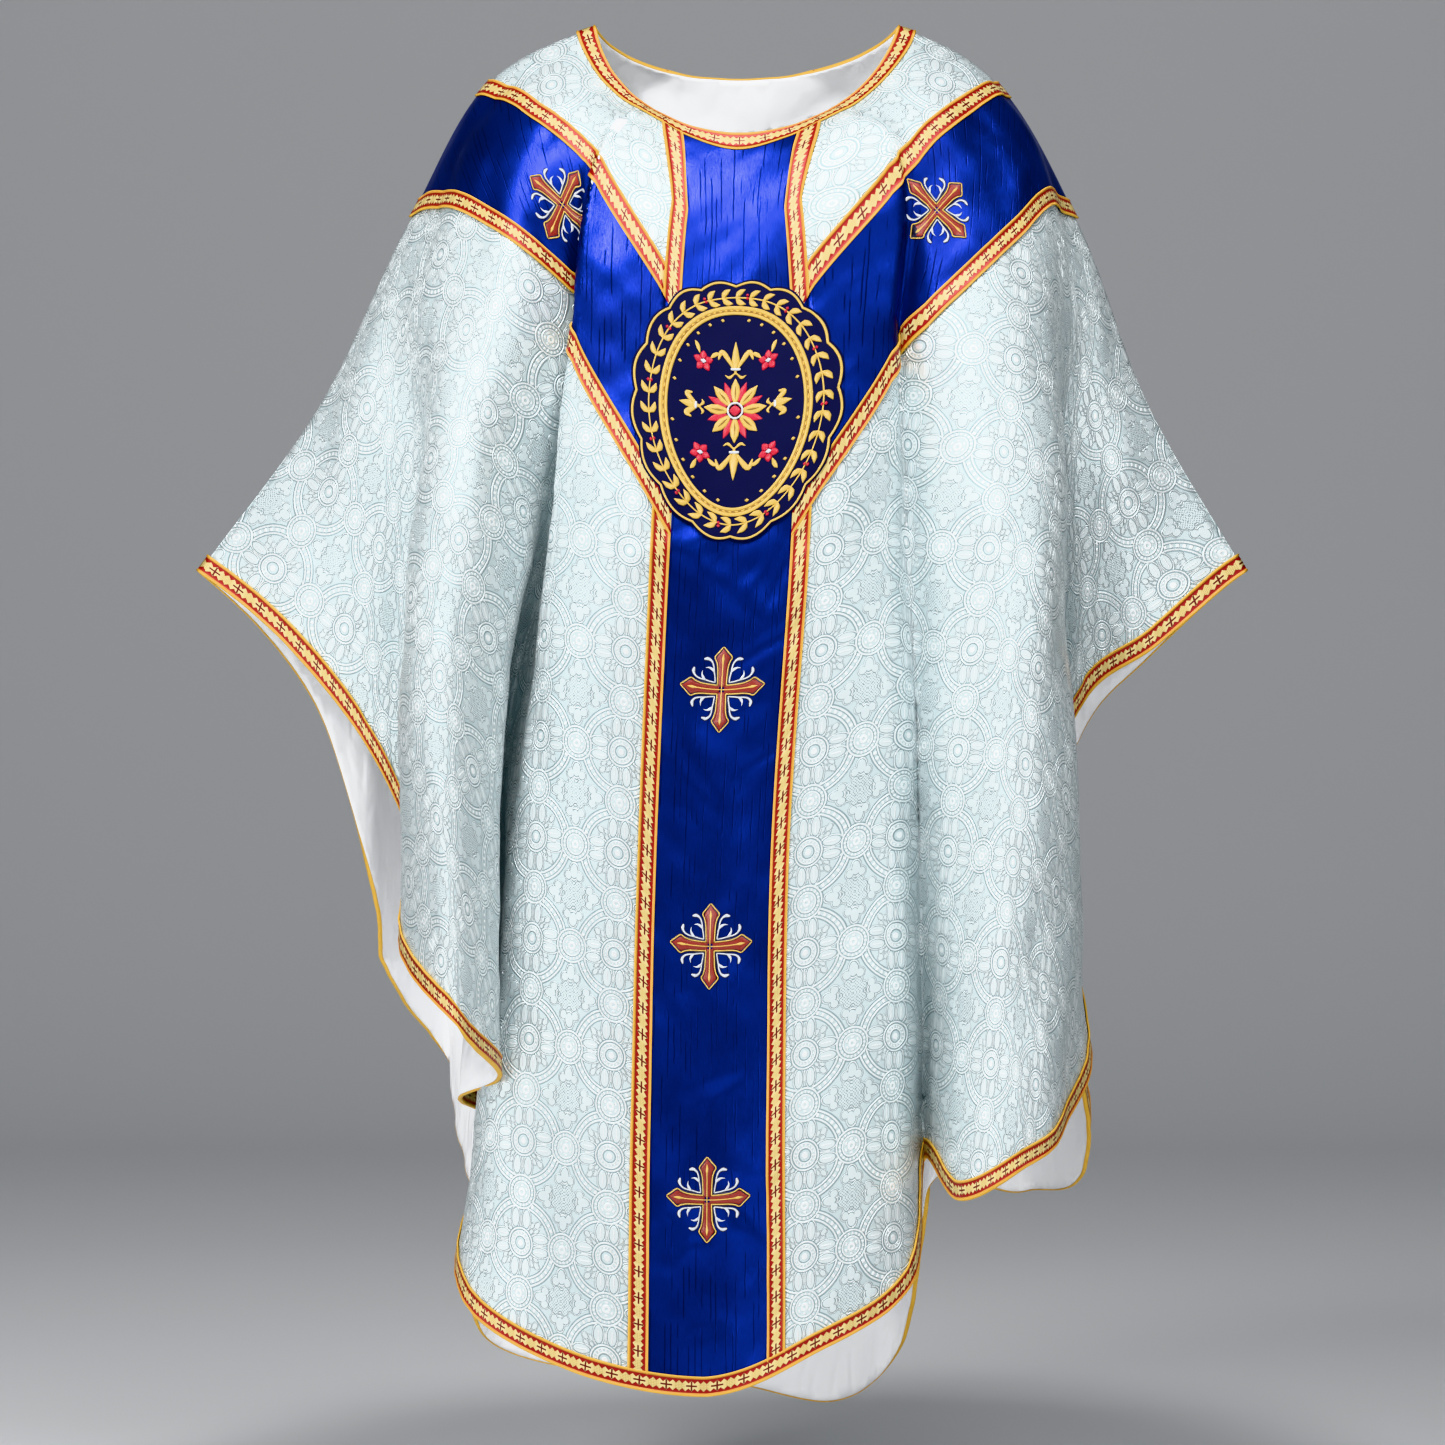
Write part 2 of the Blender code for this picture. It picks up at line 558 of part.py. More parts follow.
front = Panel(Half(front_left_folds, -1, front_neck_depth, front_ring_y, front_ring_z),
              Half(front_right_folds, 1, front_neck_depth, front_ring_y, front_ring_z), -1)
back = Panel(Half(back_left_folds, -1, back_neck_depth, back_ring_y, back_ring_z),
             Half(back_right_folds, 1, back_neck_depth, back_ring_y, back_ring_z), 1)

blue_low = seam
blue_high = blue_low + applied
braid_low = blue_high + seam
braid_high = braid_low + braid_wall
column_edge = column_half_width - seam / 2
arm_start = column_half_width + seam / 2
braid_edge = column_half_width - braid_width + seam / 2


def lay_orphrey(side_name, panel):
    """The blue column and the two blue arms of the Y."""
    cloth = field(panel)
    column = upright(1, -column_edge, column_edge, lambda across: past_neck, lambda across: past_hem)
    add_sheet(side_name + "_column", "blue", panel, *panel.cut(column, cloth), blue_low, blue_high)
    for hand, side in hands:
        arm = strip(side, arm_start, 0, strip_width)
        add_sheet(f"{side_name}_arm_{hand}", "blue", panel, *panel.cut(arm, cloth), blue_low, blue_high)


def lay_braids(side_name, panel):
    """Braid round the neck and the hem, and along both edges of the column and of the Y's arms."""
    cloth = field(panel)
    for edge in ("neck", "hem"):
        band = edge_band(panel, edge, braid_width, -past_arm_line)
        add_sheet(f"{side_name}_{edge}_braid", "braid", panel, *panel.cut(band), seam, seam + braid_wall)
    for hand, side in hands:
        loops = {
            "upper": upright(side, braid_edge, column_edge, lambda across: past_neck,
                             lambda across: strip_line(across, braid_width)),
            "column": upright(side, braid_edge, column_edge,
                              lambda across: strip_line(across, strip_width + seam), lambda across: past_hem),
            "v": strip(side, arm_start, 0, braid_width),
            "arm": strip(side, braid_edge, strip_width - braid_width, strip_width)}
        for kind, loop in loops.items():
            add_sheet(f"{side_name}_{kind}_braid_{hand}", "braid", panel, *panel.cut(loop, cloth),
                      braid_low, braid_high)


for side_name, panel in (("front", front), ("back", back)):
    add_sheet(side_name + "_panel", "brocade", panel, panel.flat, panel.faces, -wall, 0)
    lay_orphrey(side_name, panel)
    lay_braids(side_name, panel)

lining_low = -wall - seam - applied
lining_high = -wall - seam
for name, edge, width in (("back_lining", "hem", lining_band), ("neck_facing", "neck", facing_band)):
    band = edge_band(back, edge, width, lining_inset)
    add_sheet(name, "lining", back, *back.cut(band), lining_low, lining_high)

cross_low = blue_high + seam
cross_high = cross_low + applied
for number, down in enumerate(column_crosses, 1):
    add_sheet(f"column_cross_{number}", "cross", front, *front.cut(cross_loop((0, down), cross_reach)),
              cross_low, cross_high)
for hand, centre, side in (("left", left_cross, -1), ("right", right_cross, 1)):
    loop = cross_loop(centre, arm_cross_reach, side * (np.pi / 2 - strip_slant))  # square to the arm's edges
    add_sheet(f"arm_cross_{hand}", "cross", front, *front.cut(loop), cross_low, cross_high)

# Emblem with a raised corded ring, over the column and its braids
emblem_low = braid_high + seam
emblem_middle = (0, emblem_centre)
rim = ellipse(emblem_middle, emblem_half, rim_points_per_lobe * emblem_lobes, emblem_scallop)
rings = [ellipse(emblem_middle, (cord_half[0] + shift, cord_half[1] + shift), cord_points)
         for shift in (-cord_width / 2, 0, cord_width / 2)]
flat, faces = front.cut(rim, creases=rings)
offset = (flat - emblem_middle) / cord_half
from_cord = abs(np.hypot(*offset.T) - 1) * cord_half[0]
raised = cord_rise * np.clip(1 - from_cord / (cord_width / 2), 0, 1)
add_sheet("medallion", "emblem", front, flat, faces, emblem_low, emblem_low + applied + raised)
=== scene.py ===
import math

import bmesh
import bpy
import numpy as np
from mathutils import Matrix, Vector
from mathutils.geometry import delaunay_2d_cdt
from mathutils.kdtree import KDTree


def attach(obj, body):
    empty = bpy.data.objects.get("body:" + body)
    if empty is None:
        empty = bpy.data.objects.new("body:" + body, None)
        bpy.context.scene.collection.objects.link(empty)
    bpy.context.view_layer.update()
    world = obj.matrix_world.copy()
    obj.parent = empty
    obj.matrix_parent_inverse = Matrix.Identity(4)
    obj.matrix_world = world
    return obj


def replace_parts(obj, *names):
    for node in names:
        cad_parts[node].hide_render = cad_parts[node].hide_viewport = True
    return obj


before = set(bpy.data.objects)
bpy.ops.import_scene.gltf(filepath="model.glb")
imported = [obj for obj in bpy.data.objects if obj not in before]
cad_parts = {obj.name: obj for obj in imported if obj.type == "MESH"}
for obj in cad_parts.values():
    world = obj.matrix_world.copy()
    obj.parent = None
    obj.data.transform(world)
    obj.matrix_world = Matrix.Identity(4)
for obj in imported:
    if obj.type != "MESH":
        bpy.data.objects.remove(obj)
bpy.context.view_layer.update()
mm = 0.001

# The flat pattern's pole is the middle of the neck hole. A flat point has a distance from the pole and an
# angle from the middle line. Each fold line runs straight over the flat from the shoulder to the hem.
neckHole = {
    "shoulder": 0.150,             # pole to neck edge along the arm line
    "halfWidth": 0.149,            # of the hole as worn
    "shoulderZ": 0.015, "shift": 0.007,
    "front": (0.1365, -0.075, -0.098),     # flat depth, worn y, worn z
    "back": (0.094, 0.085, -0.025)}
hang = {
    "armAngle": math.radians(80),
    "shoulder": 0.24, "chest": 0.42,       # distances at which the tables place each fold line
    "steepest": 0.15}
radii = np.linspace(0.09, 1.52, 287)

# A row for each fold line: degrees at the shoulder and at the hem, then in mm its reach, x y z at the
# shoulder, and x y at the chest, halfway and at the hem
frontAxis = (0, 0, 1366, -10, -117, -195, -12, -150, -35, -165, -40, -175)
backAxis = (0, 0, 1425, -5, 126, -160, -8, 142, -15, 150, -20, 155)
leftArm = (80, 80, 830, -236, 0, -23, -332, 0, -422, 0, -542, 0)
rightArm = (80, 80, 808, 230, 0, -24, 326, 0, 396, 0, 493, 0)
frontLeftFolds = (
    frontAxis,
    (19, 5.5, 1366, -75, -112, -165, -95, -148, -136, -168, -170, -185),  # flat panel
    (36, 11.8, 1342, -138, -98, -115, -166, -125, -218, -142, -272, -150),  # its edge
    (37.5, 17, 1285, -142, -94, -113, -163, -110, -222, -90, -272, -80),  # its side wall
    (39, 23, 1215, -146, -92, -111, -140, -100, -234, -25, -256, 10),  # valley
    (40.5, 30, 1180, -150, -90, -109, -152, -86, -245, -85, -278, -95),  # tube, back wall
    (42, 36, 1155, -154, -88, -107, -176, -98, -232, -165, -238, -175),  # tube, inner side
    (50, 43, 1140, -178, -76, -90, -222, -122, -280, -225, -274, -245),  # tube, front
    (60, 50, 1090, -203, -60, -70, -259, -112, -326, -180, -330, -165),  # tube, outer side
    (68, 59, 1012, -219, -40, -50, -297, -80, -322, -85, -326, -75),  # crease
    (74, 67, 920, -228, -22, -38, -314, -45, -358, -70, -376, -65),  # inside the tip
    (77, 73.5, 854, -234, -11, -29, -325, -22, -394, -45, -452, -45),  # tip
    leftArm)
frontRightFolds = (
    frontAxis,
    (19, 4.5, 1346, 55, -112, -165, 69, -148, 56, -168, 63, -185),  # flat panel
    (34, 9.5, 1315, 133, -98, -118, 138, -122, 138, -142, 155, -140),  # its edge
    (38, 13, 1207, 146, -92, -111, 148, -98, 166, -105, 174, -60),  # valley
    (42, 16.5, 1242, 158, -88, -106, 174, -122, 189, -165, 203, -185),  # tube, inner side
    (49, 21.5, 1236, 175, -78, -92, 216, -130, 243, -205, 254, -225),  # tube, front
    (56, 28, 1220, 193, -66, -78, 252, -118, 291, -190, 298, -190),  # tube, round
    (63, 36, 1152, 209, -50, -62, 282, -95, 311, -130, 330, -115),  # tube, outer side
    (69, 52, 1000, 220, -36, -48, 300, -62, 288, -32, 285, -18),  # sleeve fold
    (74, 67, 882, 227, -22, -36, 314, -40, 324, -36, 332, -22),  # inside the tip
    (77, 74, 842, 229, -11, -31, 321, -20, 364, -30, 402, -32),  # tip
    rightArm)
backLeftFolds = (
    backAxis,
    (19, 6.5, 1432, -78, 118, -142, -92, 140, -108, 152, -150, 165),  # flat panel
    (36, 13, 1420, -142, 100, -103, -168, 122, -200, 140, -269, 158),  # its edge
    (41, 21, 1290, -155, 92, -94, -178, 92, -218, 55, -274, 58),  # valley
    (46, 30, 1235, -168, 85, -87, -200, 106, -244, 135, -292, 142),  # tube, inner side
    (54, 40, 1204, -190, 68, -72, -240, 118, -298, 200, -310, 215),  # tube
    (62, 50, 1138, -208, 50, -57, -280, 98, -350, 145, -366, 145),  # tube, outer side
    (70, 60, 1022, -221, 34, -47, -303, 62, -364, 75, -382, 70),  # inside the tip
    (76, 70, 890, -233, 14, -32, -323, 30, -402, 58, -440, 58),  # tip
    leftArm)
backRightFolds = (
    backAxis,
    (19, 6.5, 1458, 70, 118, -142, 85, 140, 90, 152, 95, 165),  # flat panel
    (36, 12, 1422, 138, 100, -103, 160, 122, 172, 140, 158, 158),  # its edge
    (41, 17, 1262, 152, 92, -94, 172, 92, 190, 64, 184, 70),  # valley
    (46, 22, 1276, 166, 85, -87, 195, 108, 220, 135, 230, 145),  # tube, inner side
    (54, 29, 1320, 190, 68, -72, 240, 118, 272, 195, 290, 210),  # tube
    (62, 37, 1290, 207, 50, -57, 279, 96, 325, 130, 350, 130),  # tube, outer side
    (69, 52, 1020, 220, 36, -48, 299, 60, 296, 40, 296, 26),  # sleeve fold
    (74, 65, 905, 227, 22, -37, 313, 40, 328, 44, 336, 34),  # inside the tip
    (77, 73, 850, 229, 11, -32, 321, 20, 366, 36, 402, 36),  # tip
    rightArm)


def blend(before, first, second, after, s):
    return 0.5 * (2 * first + (second - before) * s
                  + (2 * before - 5 * first + 4 * second - after) * s**2
                  + (3 * first - before - 3 * second + after) * s**3)


def curveAt(values, position):
    index = np.clip(np.floor(position).astype(int), 0, len(values) - 2)
    before = values[np.maximum(index - 1, 0)]
    after = values[np.minimum(index + 2, len(values) - 1)]
    return blend(before, values[index], values[index + 1], after, position - index)


def ease(start, end, startSlope, endSlope, length, s):
    return ((1 + 2 * s) * (1 - s)**2 * start + s * (1 - s)**2 * length * startSlope
            + s**2 * (3 - 2 * s) * end + s**2 * (s - 1) * length * endSlope)


def curveThrough(knots, values, at):
    knots, values = np.array(knots), np.array(values)
    slopes = np.gradient(values, knots)
    index = np.clip(np.searchsorted(knots, at) - 1, 0, len(knots) - 2)
    length = knots[index + 1] - knots[index]
    return ease(values[index], values[index + 1], slopes[index], slopes[index + 1], length,
                (at - knots[index]) / length)


def flatPoint(radius, angle):
    return np.stack([radius * np.sin(angle), radius * np.cos(angle)], -1)


def lengthAlong(line):
    return np.concatenate([[0], np.cumsum(np.linalg.norm(np.diff(line, axis=0), axis=1))])


def polar(flat):
    return np.hypot(flat[:, 0], flat[:, 1]), np.arctan2(abs(flat[:, 0]), flat[:, 1])


def unit(vectors):
    return vectors / np.maximum(np.linalg.norm(vectors, axis=-1, keepdims=True), 1e-12)


def smoothStep(low, high, value):
    s = np.clip((value - low) / (high - low), 0, 1)
    return s * s * (3 - 2 * s)


class HalfPanel:
    # one half of the front or back, from the middle line out to the arm line
    def __init__(self, folds, side, neckSide):
        self.side, self.count = side, len(folds)
        self.reach = np.array([row[2] for row in folds]) / 1000
        top = np.radians([row[0] for row in folds])
        depth, ringY, ringZ = neckHole[neckSide]
        end, shoulder, shoulderZ = hang["armAngle"], neckHole["shoulder"], neckHole["shoulderZ"]
        self.neckDepth = depth
        self.neckWidth = shoulder * math.sin(end) / math.sqrt(1 - (shoulder * math.cos(end) / depth)**2)
        self.neck = self.neckRadius(top)
        turn = np.arctan2(np.sin(top) / self.neckWidth, np.cos(top) / depth)
        dip = (np.cos(turn) - np.cos(turn[-1])) / (1 - np.cos(turn[-1]))
        across = side * neckHole["halfWidth"] * np.sin(turn) / np.sin(turn[-1])
        ring = np.stack([across - neckHole["shift"] * dip, ringY * dip,
                         shoulderZ + (ringZ - shoulderZ) * dip], 1)
        lines = [self.foldLine(*line) for line in zip(folds, self.neck, ring)]
        self.angles, self.places = (np.array(part) for part in zip(*lines))

    def neckRadius(self, angle):
        return 1 / np.hypot(np.sin(angle) / self.neckWidth, np.cos(angle) / self.neckDepth)

    def foldLine(self, row, neck, ring):
        angleTop, angleHem = np.radians(row[:2])
        reach, topX, topY, topZ, chestX, chestY, midX, midY, hemX, hemY = np.array(row[2:]) / 1000
        shoulder = hang["shoulder"]
        top = flatPoint(shoulder, angleTop)
        along = flatPoint(reach, angleHem) - top
        a, b, c = along @ along, 2 * top @ along, shoulder**2 - radii**2
        share = (np.sqrt(np.maximum(b * b - 4 * a * c, 0)) - b) / (2 * a)
        flat = top + np.maximum(share, 0)[:, None] * along
        inner = radii < shoulder
        angle = np.where(inner, angleTop, np.arctan2(flat[:, 0], flat[:, 1]))
        knots = (neck, shoulder, hang["chest"], (hang["chest"] + reach) / 2, reach)
        x = curveThrough(knots, (ring[0], topX, chestX, midX, hemX), radii)
        y = curveThrough(knots, (ring[1], topY, chestY, midY, hemY), radii)
        run = np.hypot(*np.gradient(flatPoint(radii, angle), axis=0).T)
        spent = np.gradient(x)**2 + np.gradient(y)**2
        drop = np.sqrt(np.maximum(run**2 - spent, (hang["steepest"] * run)**2))
        fallen = np.concatenate([[0], np.cumsum((drop[1:] + drop[:-1]) / 2)])
        z = topZ - (fallen - np.interp(shoulder, radii, fallen))
        slope = -np.interp(shoulder, radii, drop) / (radii[1] - radii[0])
        length = shoulder - neck
        startSlope = 2 * (topZ - ring[2]) / length - slope
        nearNeck = ease(ring[2], topZ, startSlope, slope, length, np.clip((radii - neck) / length, -0.5, 1))
        return angle, np.stack([x, y, np.where(inner, nearNeck, z)], 1)

    def rowsAt(self, table, radius):
        position = (radius - radii[0]) / (radii[1] - radii[0])
        low = np.clip(position.astype(int), 0, len(radii) - 2)
        s = (position - low).reshape((1, -1) + (1,) * (table.ndim - 2))
        return np.moveaxis(table[:, low] * (1 - s) + table[:, low + 1] * s, 0, 1)

    def foldOf(self, radius, angle):
        rows = self.rowsAt(self.angles, radius)
        k = np.clip((angle[:, None] >= rows).sum(1) - 1, 0, self.count - 2)
        i = np.arange(len(k))
        return k + (angle - rows[i, k]) / np.maximum(rows[i, k + 1] - rows[i, k], 1e-9)

    def angleOf(self, fold, radius):
        rows = self.rowsAt(self.angles, radius)
        k = np.clip(fold.astype(int), 0, self.count - 2)
        i = np.arange(len(k))
        return rows[i, k] + (fold - k) * (rows[i, k + 1] - rows[i, k])

    def place(self, fold, radius):
        rows = self.rowsAt(self.places, radius)
        other = self.other.rowsAt(self.other.places, radius)[:, 1]
        k = np.clip(np.floor(fold).astype(int), 0, self.count - 2)
        i = np.arange(len(k))
        first, second = rows[i, k], rows[i, k + 1]
        before = np.where((k == 0)[:, None], other, rows[i, np.maximum(k - 1, 0)])
        after = np.where((k == self.count - 2)[:, None], 2 * second - first,
                         rows[i, np.minimum(k + 2, self.count - 1)])
        return blend(before, first, second, after, (fold - k)[:, None])


# Soft unevenness of hanging cloth: how many waves, and their heights and lengths in mm
softness = {"swells": (9, (0.5, 1.3), (130, 330)), "puckers": (12, (0.05, 0.16), (28, 70))}
armFade, neckFade = 0.05, 0.04


def fromArmLine(flat):
    radius, angle = polar(flat)
    return radius * np.sin(np.maximum(hang["armAngle"] - angle, 0))


class Panel:
    def __init__(self, leftFolds, rightFolds, neckSide, outward, seed):
        self.left = HalfPanel(leftFolds, -1, neckSide)
        self.right = HalfPanel(rightFolds, 1, neckSide)
        self.left.other, self.right.other = self.right, self.left
        self.outward = outward
        random = np.random.default_rng(seed)
        self.creases = mm * np.concatenate([scatterCreases(*row, *creaseKinds[kind])
                                            for *row, kind in creases[neckSide]])
        self.waves = []
        for count, heights, lengths in softness.values():
            for _ in range(count):
                rise = random.uniform(*heights) * mm
                wave = 2 * math.pi / (random.uniform(*lengths) * mm)
                turn = random.uniform(-1.2, 1.2)       # mostly across the hanging threads
                self.waves.append((rise, wave * math.cos(turn), wave * math.sin(turn),
                                   random.uniform(0, 2 * math.pi)))

    def sides(self, across):
        return ((self.left, across < 0), (self.right, across >= 0))

    def smoothPlace(self, flat):
        place = np.zeros((len(flat), 3))
        radius, angle = polar(flat)
        for half, chosen in self.sides(flat[:, 0]):
            fold = half.foldOf(radius[chosen], angle[chosen])
            place[chosen] = half.place(np.clip(fold, 0, half.count - 1), radius[chosen])
        return place

    def unevenness(self, flat):
        height = np.zeros(len(flat))
        for rise, waveX, waveY, start in self.waves:
            height += rise * np.sin(waveX * flat[:, 0] + waveY * flat[:, 1] + start
                                    + 0.8 * np.sin(0.45 * waveX * flat[:, 1] + start))
        for x0, y0, x1, y1, width, rise in self.creases:
            run = np.array([x1 - x0, y1 - y0])
            share = np.clip(((flat - (x0, y0)) @ run) / (run @ run), 0, 1)
            away = np.hypot(flat[:, 0] - x0 - share * run[0], flat[:, 1] - y0 - share * run[1])
            height += rise * np.exp(-(away / width)**2) * np.sin(np.pi * share)
        fade = smoothStep(0, armFade, fromArmLine(flat))
        return height * fade * smoothStep(0.13, 0.13 + neckFade, polar(flat)[0])

    def onCloth(self, flat, height):
        # where flat points hang, some way above the cloth
        flat = np.asarray(flat, float)
        across, down = (self.smoothPlace(flat + step) - self.smoothPlace(flat - step)
                        for step in (np.array([2 * mm, 0]), np.array([0, 2 * mm])))
        normal = unit(np.cross(across, down)) * self.outward
        level = normal.copy()
        level[:, 1] *= smoothStep(0, 0.018, fromArmLine(flat))    # front and back agree at the seam
        level = unit(level)
        level /= np.clip((level * normal).sum(1), 0.6, 1)[:, None]
        height = np.broadcast_to(height, len(flat)) + self.unevenness(flat)
        return self.smoothPlace(flat) + level * height[:, None]

    def flatAt(self, fold, radius):
        flat = np.zeros((len(fold), 2))
        for half, chosen in self.sides(fold):
            angle = half.angleOf(abs(fold[chosen]), radius[chosen])
            flat[chosen] = flatPoint(radius[chosen], half.side * angle)
        return flat

    def edgeRadius(self, fold, edge):
        radius = np.zeros(len(fold))
        for half, chosen in self.sides(fold):
            radius[chosen] = curveAt(half.neck if edge == "neck" else half.reach, abs(fold[chosen]))
        return radius

    def edgeLine(self, edge, inset, spacing):
        # flat line along the neck or the hem, inset from it, from one arm line to the other
        fold = np.linspace(1 - self.left.count, self.right.count - 1, 4001)
        line = self.flatAt(fold, self.edgeRadius(fold, edge))
        length = lengthAlong(line)
        count = int(length[-1] / spacing)
        fold = np.interp(np.linspace(0, length[-1], count + 1), length, fold)
        radius = self.edgeRadius(fold, edge)
        line = self.flatAt(fold, radius)
        run = unit(self.flatAt(fold, radius + (mm if edge == "neck" else -mm)) - line)
        along = unit(np.gradient(line, axis=0))
        lean = abs(run[:, 0] * along[:, 1] - run[:, 1] * along[:, 0])
        return line + run * (inset / np.clip(lean, 0.7, 1))[:, None]

    def outline(self, neckInset, hemInset, spacing):
        hem = self.edgeLine("hem", hemInset, spacing)
        neck = self.edgeLine("neck", neckInset, spacing)[::-1]
        return np.concatenate([hem, between(hem[-1], neck[0], spacing), neck,
                               between(neck[-1], hem[0], spacing)])


def between(start, end, spacing):
    count = max(int(np.linalg.norm(end - start) / spacing), 1)
    return start + np.linspace(0, 1, count + 1)[1:-1, None] * (end - start)


def loopThrough(corners, spacing):
    corners = np.asarray(corners, float)
    return np.concatenate([np.concatenate([corners[i:i + 1], between(corners[i], corner, spacing)])
                           for i, corner in enumerate(np.roll(corners, -1, axis=0))])


def insideLoop(points, loop):
    ax, ay = loop.T
    bx, by = np.roll(loop, -1, axis=0).T
    found = np.zeros(len(points), bool)
    for start in range(0, len(points), 3000):
        x, y = (points[start:start + 3000, k:k + 1] for k in range(2))
        spans = (ay > y) != (by > y)
        at = ax + (bx - ax) * (y - ay) / np.where(by == ay, 1, by - ay)
        found[start:start + 3000] = (spans & (x < at)).sum(1) % 2 == 1
    return found


def twiceArea(flat, faces):
    # of each triangle
    a, b, c = (flat[faces[:, k]] for k in range(3))
    return (b[:, 0] - a[:, 0]) * (c[:, 1] - a[:, 1]) - (b[:, 1] - a[:, 1]) * (c[:, 0] - a[:, 0])


def cutCloth(loops, spacing):
    # flat points and triangles of the cloth inside every loop
    low, high = loops[0].min(0), loops[0].max(0)
    rowHeight = spacing * math.sqrt(3) / 2
    rows = []
    for k, y in enumerate(np.arange(low[1] + rowHeight / 2, high[1], rowHeight)):
        x = np.arange(low[0] + (k % 2) * spacing / 2, high[0], spacing)
        rows.append(np.stack([x, np.full(len(x), y)], 1))
    flat, edge = np.concatenate(rows), np.concatenate(loops)
    near = KDTree(len(edge))
    for i, point in enumerate(edge):
        near.insert((*point, 0), i)
    near.balance()
    flat = flat[np.array([near.find((*point, 0))[2] for point in flat]) > spacing * 0.55]
    for loop in loops:
        flat = flat[insideLoop(flat, loop)]
    edges = []
    for loop in loops:
        start = len(flat)
        edges += [(start + i, start + (i + 1) % len(loop)) for i in range(len(loop))]
        flat = np.concatenate([flat, loop])
    found = delaunay_2d_cdt([Vector(point) for point in (flat / mm).tolist()], edges, [], 0, 0.02)
    flat = np.array([tuple(point) for point in found[0]]) * mm
    faces = np.array([tuple(face) for face in found[2]])
    keep = abs(twiceArea(flat, faces)) > 1e-9
    for loop in loops:
        keep &= insideLoop(flat[faces].mean(1), loop)
    used, index = np.unique(faces[keep], return_inverse=True)
    return flat[used], index.reshape(-1, 3)


def scatterCreases(seed, count, across, down, lengths, widths, heights, slant):
    # short soft creases over part of the flat cloth, in mm: x y of both ends, width and height
    random = np.random.default_rng(seed)
    found = []
    for _ in range(count):
        x, y = random.uniform(*across), random.uniform(*down)
        length, angle = random.uniform(*lengths), random.choice((-1, 1)) * random.uniform(*slant)
        dx, dy = length / 2 * math.cos(angle), length / 2 * math.sin(angle)
        found.append((x - dx, y - dy, x + dx, y + dy, random.uniform(*widths),
                      random.choice((-1, 1)) * random.uniform(*heights)))
    return found


# Embroidery and braid draw the cloth up into creases. Each kind has its ranges of length, width and height
# in mm, and of slant. Each row has a seed, a number, where the creases lie across and down, and their kind.
creaseKinds = {
    "column": ((50, 130), (8, 16), (1.4, 3.2), (0.3, 1.1)),
    "arm": ((50, 110), (8, 15), (0.8, 1.8), (0.7, 1.4)),
    "body": ((110, 260), (14, 30), (0.8, 2.4), (1.1, 1.5)),
    "backColumn": ((50, 120), (7, 14), (0.9, 1.8), (0.3, 1.1))}
creases = {
    "front": ((5, 30, (-55, 55), (520, 1330), "column"), (6, 12, (-330, -90), (90, 330), "arm"),
              (7, 12, (90, 330), (90, 330), "arm"), (8, 34, (-480, 480), (420, 1250), "body")),
    "back": ((9, 20, (-55, 55), (400, 1380), "backColumn"), (10, 34, (-480, 480), (300, 1300), "body"))}
front = Panel(frontLeftFolds, frontRightFolds, "front", -1, 11)
back = Panel(backLeftFolds, backRightFolds, "back", 1, 23)
print("drape ready")


def feed(tree, sockets, values):
    # each value is a wire or a constant
    for socket, value in zip(sockets, values):
        if isinstance(value, Wire):
            tree.links.new(value.socket, socket)
        else:
            socket.default_value = value


class Wire:
    # a node's output that can be added, multiplied and so on
    def __init__(self, tree, socket):
        self.tree, self.socket = tree, socket

    def math(self, operation, *others, clamp=False):
        node = self.tree.nodes.new("ShaderNodeMath")
        node.operation, node.use_clamp = operation, clamp
        feed(self.tree, node.inputs, (self, *others))
        return Wire(self.tree, node.outputs[0])

    def __add__(self, other): return self.math("ADD", other)
    def __sub__(self, other): return self.math("SUBTRACT", other)
    def __mul__(self, other): return self.math("MULTIPLY", other)
    def __truediv__(self, other): return self.math("DIVIDE", other)
    def size(self): return self.math("ABSOLUTE")
    def sine(self): return self.math("SINE")
    def fraction(self): return self.math("FRACT")

    def least(self, *others):
        for other in others:
            self = self.math("MINIMUM", other)
        return self

    def most(self, *others):
        for other in others:
            self = self.math("MAXIMUM", other)
        return self

    def ramp(self, low, high, toLow=0.0, toHigh=1.0):
        node = self.tree.nodes.new("ShaderNodeMapRange")
        node.interpolation_type = "SMOOTHSTEP"
        feed(self.tree, node.inputs, (self, low, high, toLow, toHigh))
        return Wire(self.tree, node.outputs[0])

    def below(self, edge, soft=0.35):
        return self.ramp(edge - soft, edge + soft, 1.0, 0.0)

    def into(self, node, socket):
        self.tree.links.new(self.socket, node.inputs[socket])


def length(x, y):
    return (x * x + y * y).math("SQRT")


